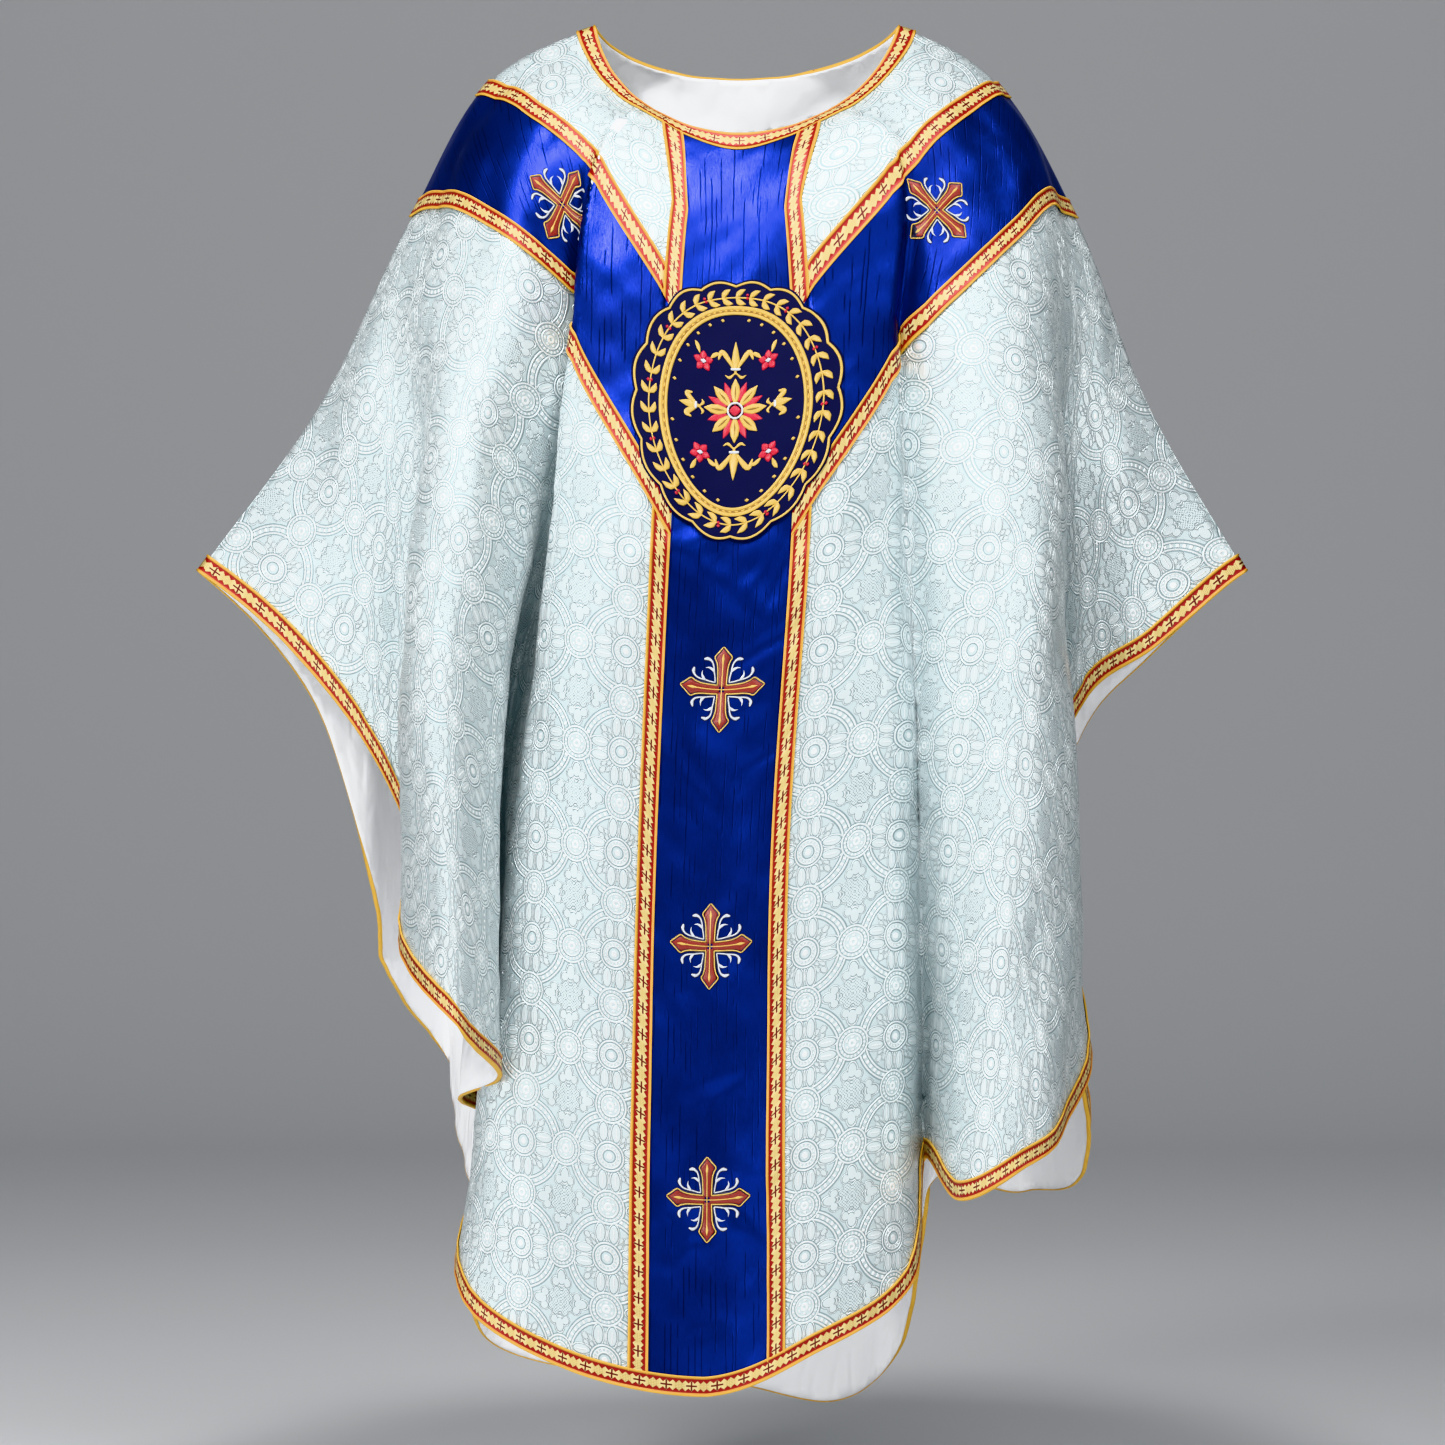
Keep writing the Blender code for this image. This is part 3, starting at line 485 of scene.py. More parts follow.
class Finish:
    def __init__(self, name, roughness, **fixed):
        self.material = bpy.data.materials.new(name)
        self.material.use_nodes = True
        self.tree = self.material.node_tree
        self.shader = self.tree.nodes["Principled BSDF"]
        for socket, value in {"Roughness": roughness, **fixed}.items():
            self.shader.inputs[socket].default_value = value

    def uv(self):
        # flat coordinates in mm
        coordinates = self.tree.nodes.new("ShaderNodeUVMap")
        coordinates.uv_map = "flat"
        parts = self.tree.nodes.new("ShaderNodeSeparateXYZ")
        self.tree.links.new(coordinates.outputs[0], parts.inputs[0])
        return Wire(self.tree, parts.outputs[0]) * 1000.0, Wire(self.tree, parts.outputs[1]) * 1000.0

    def noise(self, x, y, scale=1.0, detail=2.0, roughness=0.5):
        place = self.tree.nodes.new("ShaderNodeCombineXYZ")
        feed(self.tree, place.inputs, (x, y))
        node = self.tree.nodes.new("ShaderNodeTexNoise")
        feed(self.tree, [node.inputs[socket] for socket in ("Vector", "Scale", "Detail", "Roughness")],
             (Wire(self.tree, place.outputs[0]), scale, detail, roughness))
        return Wire(self.tree, node.outputs[0])

    def chance(self, value):
        node = self.tree.nodes.new("ShaderNodeTexWhiteNoise")
        node.noise_dimensions = "1D"
        value.into(node, "W")
        return Wire(self.tree, node.outputs[0])

    def mix(self, share, first, second):
        node = self.tree.nodes.new("ShaderNodeMix")
        node.data_type = "RGBA"
        share.into(node, 0)
        feed(self.tree, [socket for socket in node.inputs if socket.type == "RGBA"],
             [value if isinstance(value, Wire) else (*value, 1) for value in (first, second)])
        return Wire(self.tree, [socket for socket in node.outputs if socket.type == "RGBA"][0])

    def coat(self, colour):
        colour.into(self.shader, "Base Color")

    def bump(self, height, depth):
        # height is from 0 to 1, depth in mm
        node = self.tree.nodes.new("ShaderNodeBump")
        node.inputs["Strength"].default_value = 1.0
        node.inputs["Distance"].default_value = depth * mm
        height.into(node, "Height")
        self.tree.links.new(node.outputs[0], self.shader.inputs["Normal"])


# Brocade: silver-white satin figures on a plainer grey ground. Sizes in mm of flat cloth.
brocade = {
    "repeat": 96.0, "roundel": 34.5, "band": 7.5, "ring": 15.5, "relief": 0.55, "waver": 3.0,
    # shade is the colour of the painted shade beside the raised lines
    "white": (0.96, 0.985, 0.99), "shade": (0.20, 0.28, 0.30),
    "ground": (0.56, 0.655, 0.67), "paleGround": (0.61, 0.705, 0.72),
    "figureRoughness": 0.33, "groundRoughness": 0.46}
diagonal = 0.7071


def line(distance, width, soft=0.3):
    return distance.size().below(width / 2, soft)


def rings(distance, *rows):
    # lines at some distances, each with its width
    first, *others = [line(distance - place, width) for place, width in rows]
    return first.most(*others)


def beaded(turn, count, distance, width, low=-0.2):
    return (turn * count).sine().ramp(low, 0.5) * line(distance, width)


def ovals(x, y, *rows):
    # below 1 inside any of the ovals; each has its middle's x y and its half width and height
    first, *others = [length((x - midX) / halfX, (y - midY) / halfY) for midX, midY, halfX, halfY in rows]
    return first.least(*others)


def outlined(shape):
    # fill, pale line round it, and painted shade on both sides of the line, standing in for the shading of
    # its relief
    return (shape.below(0.95, 0.06), line(shape - 1.20, 0.14, 0.05),
            line(shape - 1.06, 0.16, 0.05).most(line(shape - 1.42, 0.12, 0.05)))


def makeBrocade():
    finish = Finish("silverRoundelBrocade", brocade["figureRoughness"], **{
        "Metallic": 0.5, "Sheen Weight": 0.1, "Sheen Roughness": 0.4, "Specular IOR Level": 0.6})
    x, y = finish.uv()
    step, roundel, ring = brocade["repeat"], brocade["roundel"], brocade["ring"]
    outer = roundel + brocade["band"]
    # threads are never laid quite true, so the figures waver a little
    x = x + (finish.noise(x, y, 0.02, 1.0) - 0.5) * brocade["waver"]
    y = y + (finish.noise(x + 500.0, y, 0.02, 1.0) - 0.5) * brocade["waver"]

    def local(value):
        return ((value / step + 0.5).fraction() - 0.5) * step

    # roundel: four pairs of drop petals round a rosette, inside a beaded band
    rx, ry = local(x), local(y)
    r, angle = length(rx, ry), ry.math("ARCTAN2", rx)
    u, v = rx.size().most(ry.size()), rx.size().least(ry.size())
    petal, petalLine, petalShade = outlined(ovals(u, v, (23.0, 6.4, 8.6, 4.3)))
    leaf, leafLine, leafShade = outlined(ovals((u + v) * diagonal, (u - v) * diagonal, (27.5, 0.0, 3.6, 2.4),
                                               (22.0, 3.6, 3.4, 1.8), (17.0, 0.0, 3.2, 1.5)))
    veins = (line(v - 6.4, 1.0) * line(u - 22.0, 10.0)).most(line(v, 0.9) * line(u - 20.0, 12.0))
    rosette = rings(r, (7.3, 1.1), (11.0, 1.0), (13.8, 1.1)).most(
        beaded(angle, 16.0, r - 9.2, 1.8, -0.1), r.below(3.0))
    # dark rings beside the rosette's and band's lines: painted shade of their relief
    rosetteShade = rings(r, (5.8, 1.2), (12.4, 1.1), (15.2, 1.1))
    bands = rings(r, (roundel, 1.1), (outer, 1.2)).most(beaded(angle, 40.0, r - (roundel + outer) / 2, 3.4))
    bandShade = rings(r, (roundel - 1.6, 1.2), (roundel + 1.5, 0.9), (outer + 1.7, 1.3), (outer - 1.5, 0.9))
    # small ring midway between neighbours, over the bands
    ds, dt = ((x + y) / step).fraction() - 0.5, ((x - y) / step).fraction() - 0.5
    q, turn = length(ds, dt) * (step * diagonal), dt.math("ARCTAN2", ds)
    small = rings(q, (ring, 1.1), (9.2, 1.1)).most(
        (q - 4.0).below(0.0, 0.5) * q.ramp(1.2, 2.0),
        beaded(turn, 20.0, q - 12.3, 2.6), beaded(turn, 6.0, q - 6.2, 1.8))
    # dark rings beside the small ring's lines: painted shade of their relief
    smallShade = rings(q, (ring + 1.5, 1.2), (ring - 1.5, 0.9), (10.6, 0.9))
    # cross of leaf lobes in the middle of each cell
    cx, cy = local(x + step / 2).size(), local(y + step / 2).size()
    cu, cv = cx.most(cy), cx.least(cy)
    crossFill, crossLine, crossShade = outlined(ovals(
        cu, cv, (22.5, 0.0, 6.6, 4.4), (18.0, 6.4, 4.0, 3.7), (9.0, 5.0, 4.2, 3.6), (4.0, 0.0, 6.0, 4.0)))
    lace = (cu * 2.1).sine() * (cv * 2.1).sine()
    # the cross's painted shade also carries the lace dots in its middle, which are woven pattern
    crossShade = crossShade.most(lace.ramp(0.1, 0.5) * length(cx, cy).below(14.0, 2.0) * crossFill)
    # the small rings cover the rest, and petals stay between the rosette and the band
    free = q.ramp(ring + 0.6, ring + 1.2)
    inside = r.below(roundel - 1.0)
    among = inside * r.ramp(15.0, 15.6)
    fills = (petal.most(leaf) * among).most(crossFill) * free
    lines = ((petalLine.most(leafLine, veins) * among).most(rosette * inside, bands, crossLine)
             * free).most(small)
    shades = ((petalShade.most(leafShade) * among).most(rosetteShade * inside, bandShade, crossShade)
              * free).most(smallShade)
    twill = ((x * 0.7 + y) * 3.4 + finish.noise(x, y, 0.9, 2.0) * 5.0).sine() * 0.5 + 0.5
    pale = finish.noise(x, y, 0.006, 2.0).ramp(0.35, 0.65)
    ground = finish.mix(pale, brocade["ground"], brocade["paleGround"])
    share = fills * 0.17 + among * 0.05 + lines + twill * fills * 0.14
    share = share.math("MULTIPLY", 1.0, clamp=True)
    colour = finish.mix(share, ground, brocade["white"])
    # painted shade beside the raised lines, with the lace dots, laid over the woven colour
    finish.coat(finish.mix(shades * (lines * -1.0 + 1.0) * 0.85, colour, brocade["shade"]))
    share.ramp(0, 1, brocade["groundRoughness"], brocade["figureRoughness"]).into(finish.shader, "Roughness")
    height = fills * 0.45 + lines * 0.75 - shades * 0.25 + twill * 0.10
    finish.bump(height + finish.noise(x, y, 0.35, 3.0) * 0.2, brocade["relief"])
    return finish.material


# Royal blue shantung: dark slubs run down the cloth, and the satin face throws blue light
shantung = {
    "light": (0.011, 0.034, 0.33), "dark": (0.005, 0.009, 0.075), "slub": (0.003, 0.004, 0.025),
    "metallic": 0.88, "roughness": 0.34, "strip": 6.5}


def makeShantung():
    finish = Finish("royalBlueShantung", shantung["roughness"], **{
        "Metallic": shantung["metallic"], "Sheen Weight": 0.05, "Sheen Roughness": 0.4,
        "Sheen Tint": (0.05, 0.15, 1.0, 1), "Specular IOR Level": 0.4})
    x, y = finish.uv()
    # one slub thread in each strip of the cloth, showing over part of its length
    strip = (x / shantung["strip"]).math("FLOOR")
    place = (strip + finish.chance(strip) * 0.7 + 0.15) * shantung["strip"]
    place = place + (finish.noise(strip * 3.1, y * 0.03, 1.0, 2.0) - 0.5) * 2.5
    shown = finish.noise(strip * 7.7 + 50.0, y * 0.017, 1.0, 2.0).ramp(0.48, 0.56)
    slub = line(x - place, 0.9, 0.45) * shown
    thread = finish.noise(x * 2.2, y * 0.12, 1.0, 2.0)
    cloud = finish.noise(x, y, 0.013, 2.0).ramp(0.3, 0.7)
    shade = thread * 0.6 + cloud * 0.4
    colour = finish.mix(shade, shantung["dark"], shantung["light"])
    finish.coat(finish.mix(slub * 0.85, colour, shantung["slub"]))
    shade.ramp(0.2, 0.8, 0.38, 0.29).into(finish.shader, "Roughness")
    finish.bump(thread * 0.5 - slub * 0.6, 0.30)
    return finish.material


def makeLining():
    finish = Finish("whiteLining", 0.34, **{"Sheen Weight": 0.25, "Specular IOR Level": 0.6})
    x, y = finish.uv()
    cloud = finish.noise(x, y, 0.012, 3.0)
    finish.coat(finish.mix(cloud, (0.94, 0.95, 0.97), (0.98, 0.98, 0.98)))
    # soft wrinkles where the light cloth is caught into the seam
    ridge = (finish.noise(x * 0.9 + y * 0.3, y * 0.5 - x * 0.4, 0.022, 1.0) - 0.5).size().ramp(0.0, 0.14)
    finish.bump(ridge * 0.8 + finish.noise(x, y, 0.03, 2.0) * 0.8, 1.0)
    return finish.material


# Galloon: gold edge cords, red ground, and a toothed cream-gold band with a small red cross every 25 mm
galloon = {
    "repeat": 25.0, "width": 19.0, "teeth": 4, "band": 2.3, "tooth": 2.7, "edge": 6.8, "hatch": 2.1,
    "gold": (0.84, 0.50, 0.08), "cream": (0.82, 0.67, 0.30), "olive": (0.40, 0.25, 0.04),
    "red": (0.30, 0.010, 0.008), "mark": (0.13, 0.006, 0.005), "rib": (0.70, 0.28, 0.06)}


def makeGalloon():
    finish = Finish("goldRedGalloon", 0.42, **{"Metallic": 0.3, "Specular IOR Level": 0.6})
    along, across = finish.uv()
    middle = (across - galloon["width"] / 2).size()
    a = ((along / galloon["repeat"]).fraction() - 0.5) * galloon["repeat"]
    pitch = galloon["repeat"] / galloon["teeth"]
    tooth = (((a + 500.0 * pitch) / pitch).fraction() - 0.5).size() * 2.0
    band = (middle - tooth * galloon["tooth"]).below(galloon["band"], 0.25)
    a = a.size()
    bars = (middle.below(0.85, 0.25) * a.below(5.6, 0.3)).most(a.below(0.85, 0.25) * middle.below(4.6, 0.3))
    hatch = ((along + across) * galloon["hatch"]).sine() * ((along - across) * galloon["hatch"]).sine()
    cream = finish.mix(a.ramp(4.5, 9.0) * (hatch * 0.5 + 0.5) * 0.8, galloon["cream"], galloon["olive"])
    edge = middle.ramp(galloon["edge"] - 0.3, galloon["edge"] + 0.3)
    gold = finish.mix(line(middle - galloon["edge"] - 0.7, 0.7), galloon["gold"], galloon["rib"])
    colour = finish.mix(bars, finish.mix(band, galloon["red"], cream), galloon["mark"])
    finish.coat(finish.mix(edge, colour, gold))
    stitch = ((along * 7.0 + middle * 2.5).sine() * 0.5 + 0.5) * edge * 0.3
    finish.bump(band.most(edge) * 0.6 + stitch + hatch * band * 0.12 - bars * 0.3, 0.5)
    return finish.material


def makeThread(name, colour, dark, roughness=0.35, metallic=0.0):
    # satin stitch: threads 0.6 mm apart lie across the stroke, a little slanted
    finish = Finish(name, roughness, **{
        "Metallic": metallic, "Specular IOR Level": 0.65, "Sheen Weight": 0.15})
    along, across = finish.uv()
    thread = ((along + across * 0.35) * (2 * math.pi / 0.6)).sine() * 0.5 + 0.5
    uneven = finish.noise(along, across * 0.2, 0.8, 2.0)
    # the dark colour is painted shade in the grooves between the threads, mixed with random unevenness of
    # the thread
    finish.coat(finish.mix(thread * 0.55 + uneven * 0.45, dark, colour))
    finish.bump(thread + uneven * 0.4, 0.12)
    return finish.material


def makeFelt():
    finish = Finish("navyFelt", 0.8, **{
        "Sheen Weight": 0.12, "Sheen Tint": (0.2, 0.25, 0.6, 1), "Specular IOR Level": 0.25})
    x, y = finish.uv()
    fuzz = finish.noise(x, y, 0.7, 4.0, 0.65)
    finish.coat(finish.mix(fuzz, (0.003, 0.003, 0.022), (0.008, 0.009, 0.055)))
    finish.bump(fuzz, 0.3)
    return finish.material


brocadeCloth, blueCloth, liningCloth = makeBrocade(), makeShantung(), makeLining()
galloonBraid = makeGalloon()
# in each thread below the darker colour is the painted shade of its grooves
goldThread = makeThread("goldThread", (1.0, 0.76, 0.21), (0.62, 0.35, 0.05), 0.32, 0.40)
rustThread = makeThread("rustSatinStitch", (0.36, 0.024, 0.010), (0.13, 0.007, 0.004))
silverThread = makeThread("silverThread", (0.86, 0.88, 0.92), (0.50, 0.54, 0.62), 0.3, 0.3)
darkGoldThread = makeThread("darkGoldThread", (0.42, 0.24, 0.05), (0.20, 0.10, 0.02), 0.4, 0.3)
# navy for the strokes under the crosses' lobes and sprigs, a painted shadow round the raised stitching
shadowOutlineThread = makeThread("navyPaintedShadow", (0.010, 0.012, 0.09), (0.004, 0.004, 0.03), 0.5)
redThread = makeThread("redSatinStitch", (0.75, 0.02, 0.06), (0.40, 0.005, 0.02))
navyFelt = makeFelt()
print("materials ready")


def addObject(name, data):
    added = bpy.data.objects.new(name, data)
    bpy.context.scene.collection.objects.link(added)
    return added


def newPiece(name, points, faces, uv, materials, faceMaterials=None):
    mesh = bpy.data.meshes.new(name)
    mesh.from_pydata(np.asarray(points).tolist(), [], [tuple(map(int, face)) for face in faces])
    layer = mesh.uv_layers.new(name="flat")
    corner = np.zeros(len(mesh.loops), np.int32)
    mesh.loops.foreach_get("vertex_index", corner)
    layer.data.foreach_set("uv", np.asarray(uv, float)[corner].ravel())
    mesh.polygons.foreach_set("use_smooth", [True] * len(mesh.polygons))
    for material in materials:
        mesh.materials.append(material)
    if faceMaterials is not None:
        mesh.polygons.foreach_set("material_index", list(map(int, faceMaterials)))
    piece = addObject(name, mesh)
    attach(piece, "root")
    return piece


orphrey = {
    "columnHalf": 76 * mm, "crotch": 0.292, "armWidth": 141 * mm, "slant": math.radians(53.5),
    "braid": 19 * mm, "underBraid": 2 * mm, "pastArm": 0.62}


def armLine(across, below):
    # flat y of a line along the Y's arm, some way below its upper edge
    return (orphrey["crotch"] - (across - orphrey["columnHalf"]) * math.tan(orphrey["slant"])
            + below / math.cos(orphrey["slant"]))


def pressed(flat):
    # share by which the cloth is pressed down where the blue lies on it: fully in the arms' tight folds
    across = abs(flat[:, 0])
    below = (flat[:, 1] - armLine(across, 0)) * math.cos(orphrey["slant"])
    underArm = smoothStep(3 * mm, 12 * mm, np.minimum(below, orphrey["armWidth"] - below))
    return np.maximum(underArm, 0.45 * smoothStep(3 * mm, 12 * mm, orphrey["columnHalf"] - across))


# Each cloth's cell, its height above the brocade's face, how far down the blue presses it, its wall, all
# in metres, and its material
cloths = {
    "brocade": (7 * mm, 0, 2.0 * mm, 0.7 * mm, brocadeCloth),
    "lining": (10 * mm, -2.2 * mm, 1.2 * mm, 0.5 * mm, liningCloth),
    "facing": (6 * mm, -2.9 * mm, 0, 0.5 * mm, liningCloth),
    "blueColumn": (5 * mm, 0.9 * mm, 0, 0.4 * mm, blueCloth),
    "blueArm": (5 * mm, 0.95 * mm, 0, 0.4 * mm, blueCloth)}
levels = {
    "braid": 1.3 * mm, "edgeBraid": 0.8 * mm, "dive": 1.4 * mm, "cross": 1.1 * mm, "medallion": 3.3 * mm}


def clothPiece(name, panel, cloth, slot, *loops):
    cell, height, press, wall, material = cloths[cloth]
    flat, faces = cutCloth(loops, cell)
    if (panel.outward < 0) != (slot == "lining"):      # the lining shows its face on the inside
        faces = faces[:, ::-1]
    points = panel.onCloth(flat, height - press * pressed(flat))
    piece = newPiece(name, points, faces, flat, [material])
    solid = piece.modifiers.new("wall", "SOLIDIFY")
    solid.thickness, solid.offset = wall, -1
    return piece, flat, float(abs(twiceArea(flat, faces)).sum() / 2)


def declareSheet(cut, restsOn):
    piece, flat, area = cut
    width, height = flat.max(0) - flat.min(0)


panels = (("front", front), ("back", back))
body = {}
for side, panel in panels:
    for kind, inset in (("brocade", 0), ("lining", mm)):
        name = side + kind.title()
        body[name] = clothPiece(name, panel, kind, kind, panel.outline(inset, inset, cloths[kind][0]))
    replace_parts(body[side + "Brocade"][0], side + "_panel")
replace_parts(body["backLining"][0], "back_lining")

facing = {"top": mm, "bottom": 62 * mm}
top, bottom = (back.edgeLine("neck", facing[edge], cloths["facing"][0]) for edge in ("top", "bottom"))
body["facing"] = clothPiece("neckFacing", back, "facing", "lining", np.concatenate([top, bottom[::-1]]))
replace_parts(body["facing"][0], "neck_facing")
print("brocade and lining hung")

hands = (("left", -1), ("right", 1))
inner, past, cell = orphrey["columnHalf"] - orphrey["underBraid"], orphrey["pastArm"], cloths["blueArm"][0]
top, low = orphrey["underBraid"], orphrey["armWidth"] - orphrey["underBraid"]
columnLoop = loopThrough([(-inner, 0.05), (inner, 0.05), (inner, 1.5), (-inner, 1.5)], cell)
armCorners = [(x, armLine(x, below)) for x, below in ((inner, top), (past, top), (past, low), (inner, low))]
for side, panel in panels:
    tucked = panel.outline(8 * mm, 8 * mm, cell)
    column = clothPiece(side + "BlueColumn", panel, "blueColumn", "blue", columnLoop, tucked)
    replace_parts(column[0], side + "_column")
    body[side + "Blue"] = [column]
    for hand, sign in hands:
        arm = clothPiece(f"{side}BlueArm_{hand}", panel, "blueArm", "blue",
                         loopThrough(np.array(armCorners) * (sign, 1), cell), tucked)
        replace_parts(arm[0], f"{side}_arm_{hand}")
        body[side + "Blue"].append(arm)
print("blue orphrey laid")

# Galloon cross-sections in mm, across from the outer edge and up: a raised cord runs down each edge
braidTop = [(0.1, 1.2), (0.8, 1.7), (1.7, 1.5), (2.3, 1.0), (5.5, 1.15), (9.5, 1.2), (13.5, 1.15),
            (16.7, 1.0), (17.3, 1.5), (18.2, 1.7), (18.9, 1.2)]
flatSection = [(0, 0.1)] + braidTop + [(19, 0.1)]
braidStep = 4 * mm
edgeSection = ([(0.9, -2.9), (0.1, -3.0), (-0.5, -2.3), (-0.7, -1.0), (-0.5, 0.5), (0.3, 1.5)] + braidTop[2:]
               + [(19, 0.1), (0.5, 0.1), (0.3, -2.4)])


def braidPiece(name, panel, section, laneAt):
    # laneAt gives the flat line and the base height of the lane that far across
    lanes = [laneAt(offset * mm) for offset, height in section]
    points = [panel.onCloth(line, base + height * mm)
              for (line, base), (offset, height) in zip(lanes, section)]
    along = lengthAlong(lanes[len(lanes) // 2][0])
    uv = [np.stack([along, np.full(len(along), offset * mm)], 1) for offset, height in section]
    grid = np.arange(len(lanes) * len(along)).reshape(len(lanes), -1)
    beside = np.roll(grid, -1, axis=0)
    faces = np.stack([grid[:, :-1], grid[:, 1:], beside[:, 1:], beside[:, :-1]], -1).reshape(-1, 4)
    return turnOutward(newPiece(name, np.concatenate(points), [*faces, grid[:, 0], grid[::-1, -1]],
                                np.concatenate(uv), [galloonBraid]))


def turnOutward(piece):
    # faces of a closed piece made to face outward
    work = bmesh.new()
    work.from_mesh(piece.data)
    bmesh.ops.recalc_face_normals(work, faces=work.faces)
    work.to_mesh(piece.data)
    work.free()
    return piece


def straightBraid(name, panel, ends, base, tucked):
    # ends(across) gives the flat start and end of the lane that far across, in metres
    start, end = ends(orphrey["braid"] / 2)
    share = np.linspace(0, 1, int(math.dist(start, end) / braidStep) + 1)

    def lane(across):
        start, end = np.array(ends(across))
        line = start + share[:, None] * (end - start)
        if not tucked:
            return line, base
        fromEnd = (share if tucked == "start" else 1 - share) * math.dist(start, end)
        return line, base - levels["dive"] * (1 - smoothStep(7 * mm, 13 * mm, fromEnd))

    return braidPiece(name, panel, flatSection, lane)


def reachDown(panel, start):
    # how far a flat line runs straight down until it is near the hem
    travel = np.linspace(0, 1.4, 1401)
    flat = np.array(start) + travel[:, None] * (0, 1)
    radius, angle = polar(flat)
    out = np.zeros(len(flat), bool)
    for half, chosen in panel.sides(flat[:, 0]):
        fold = half.foldOf(radius[chosen], angle[chosen])
        hem = curveAt(half.reach, np.clip(fold, 0, half.count - 1))
        out[chosen] = radius[chosen] > hem - 8 * mm
    return travel[int(np.argmax(out))]


def reachArmLine(start, direction):
    # where a flat line meets the arm line
    armX, armY = math.sin(hang["armAngle"]), math.cos(hang["armAngle"])
    x, y = abs(start[0]), start[1]
    dx, dy = abs(direction[0]), direction[1]
    return (x * armY - y * armX) / (dy * armX - dx * armY)


def layBraids(side, panel):
    pieces = {}
    for edge in ("neck", "hem"):
        pieces[f"{edge}_braid"] = braidPiece(
            f"{side}{edge.title()}Braid", panel, edgeSection,
            lambda across: (panel.edgeLine(edge, across, braidStep), levels["edgeBraid"]))
    width, outer, over = orphrey["braid"], orphrey["columnHalf"], 0.15 * mm
    runX, runY = math.cos(orphrey["slant"]), -math.sin(orphrey["slant"])
    for hand, sign in hands:
        def upper(across):
            x = outer - across
            top = panel.left.neckRadius(np.arctan2(x, 0.13)) + 8 * mm
            return (sign * x, math.sqrt(max(top**2 - x**2, 0.06**2))), (sign * x, armLine(x, width))

        def lower(across):
            x = outer - across
            start = (sign * x, armLine(x, orphrey["armWidth"]))
            return start, (start[0], start[1] + reachDown(panel, start))

        def alongArm(x, below):
            start = (sign * x, armLine(x, below))
            run = reachArmLine(start, (runX, runY))
            return start, (start[0] + sign * runX * run, start[1] + runY * run)

        for kind, ends, lift, tucked in (
                ("upper", upper, over, "start"), ("column", lower, 0, "end"),
                ("v", lambda across: alongArm(outer, across), 0, None),
                ("arm", lambda across: alongArm(outer - width, orphrey["armWidth"] - across), over, None)):
            pieces[f"{kind}_braid_{hand}"] = straightBraid(f"{side}{kind.title()}Braid_{hand}", panel, ends,
                                                           levels["braid"] + lift, tucked)
    for node, piece in pieces.items():
        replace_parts(piece, f"{side}_{node}")
    return list(pieces.values())


braids = {side: layBraids(side, panel) for side, panel in panels}
print("galloon laid")


# Every embroidered motif is built from padded strokes
class Embroidery:
    def __init__(self, name, panel, threads, slot):
        self.name, self.panel, self.threads, self.slot = name, panel, threads, slot
        self.flat, self.height, self.uv, self.faces, self.thread = [], [], [], [], []
        self.count = 0

    def stroke(self, path, width, rise, base, thread, lanes=7, closed=False):
        path = np.asarray(path, float)
        width = np.broadcast_to(width, len(path))
        step = np.roll(path, -1, axis=0) - np.roll(path, 1, axis=0) if closed else np.gradient(path, axis=0)
        side = unit(np.stack([-step[:, 1], step[:, 0]], 1))
        length = lengthAlong(path)
        turn = np.linspace(0, math.pi, lanes)
        rows = len(path)
        for a in turn:
            self.flat.append(path + side * (width / 2 * math.cos(a))[:, None])
            self.height.append(base + rise * math.sin(a)**0.7 * np.minimum(1, 1.6 * width / width.max()))
            self.uv.append(np.stack([length, width * (0.5 + 0.5 * math.cos(a))], 1))
        grid = self.count + np.arange(lanes * rows).reshape(lanes, rows)
        nextStep = np.roll(grid, -1, axis=1)
        quads = np.stack([grid[:-1], nextStep[:-1], nextStep[1:], grid[1:]], -1)
        quads = (quads if closed else quads[:, :-1]).reshape(-1, 4)
        under = np.stack([grid[-1], nextStep[-1], nextStep[0], grid[0]], -1)
        quads = np.concatenate([quads, under if closed else under[:-1]])
        self.faces += list(quads)
        if not closed:
            self.faces += [grid[:, 0], grid[::-1, -1]]
        self.thread += [thread] * (len(quads) + (0 if closed else 2))
        self.count += lanes * rows

    def finish(self):
        points = self.panel.onCloth(np.concatenate(self.flat), np.concatenate(self.height))
        return turnOutward(newPiece(self.name, points, self.faces, np.concatenate(self.uv),
                                    self.threads, self.thread))


def curve(corners, count):
    # smooth path through corner points
    corners = np.asarray(corners, float)
    at = np.linspace(0, len(corners) - 1, count)
    padded = np.concatenate([2 * corners[:1] - corners[1:2], corners, 2 * corners[-1:] - corners[-2:-1]])
    k = np.clip(at.astype(int), 0, len(corners) - 2)
    return blend(padded[k], padded[k + 1], padded[k + 2], padded[k + 3], (at - k)[:, None])


def turned(points, angle):
    cos, sin = math.cos(angle), math.sin(angle)
    return np.asarray(points) @ np.array([(cos, sin), (-sin, cos)])


crosses = {
    "column": (0.690, 0.936, 1.178), "left": (-0.212, 0.228), "right": (0.186, 0.248), "reach": 41 * mm,
    "drawn": 42.0,                                     # units from its middle to a point
    "edge": [(4.3, 4.3), (12, 4.6), (21, 5.1), (27, 6.6), (31.6, 8.6), (37, 4.4), (42, 0.2)],
    "sprig": [(6.9, 6.9), (12, 7.5), (17, 8.5), (22.5, 9.3), (27, 11.2), (29.4, 15), (28.6, 19.5)],
    "leaf": [(17, 8.6), (19.6, 11), (20.9, 14), (20.4, 17.6)]}


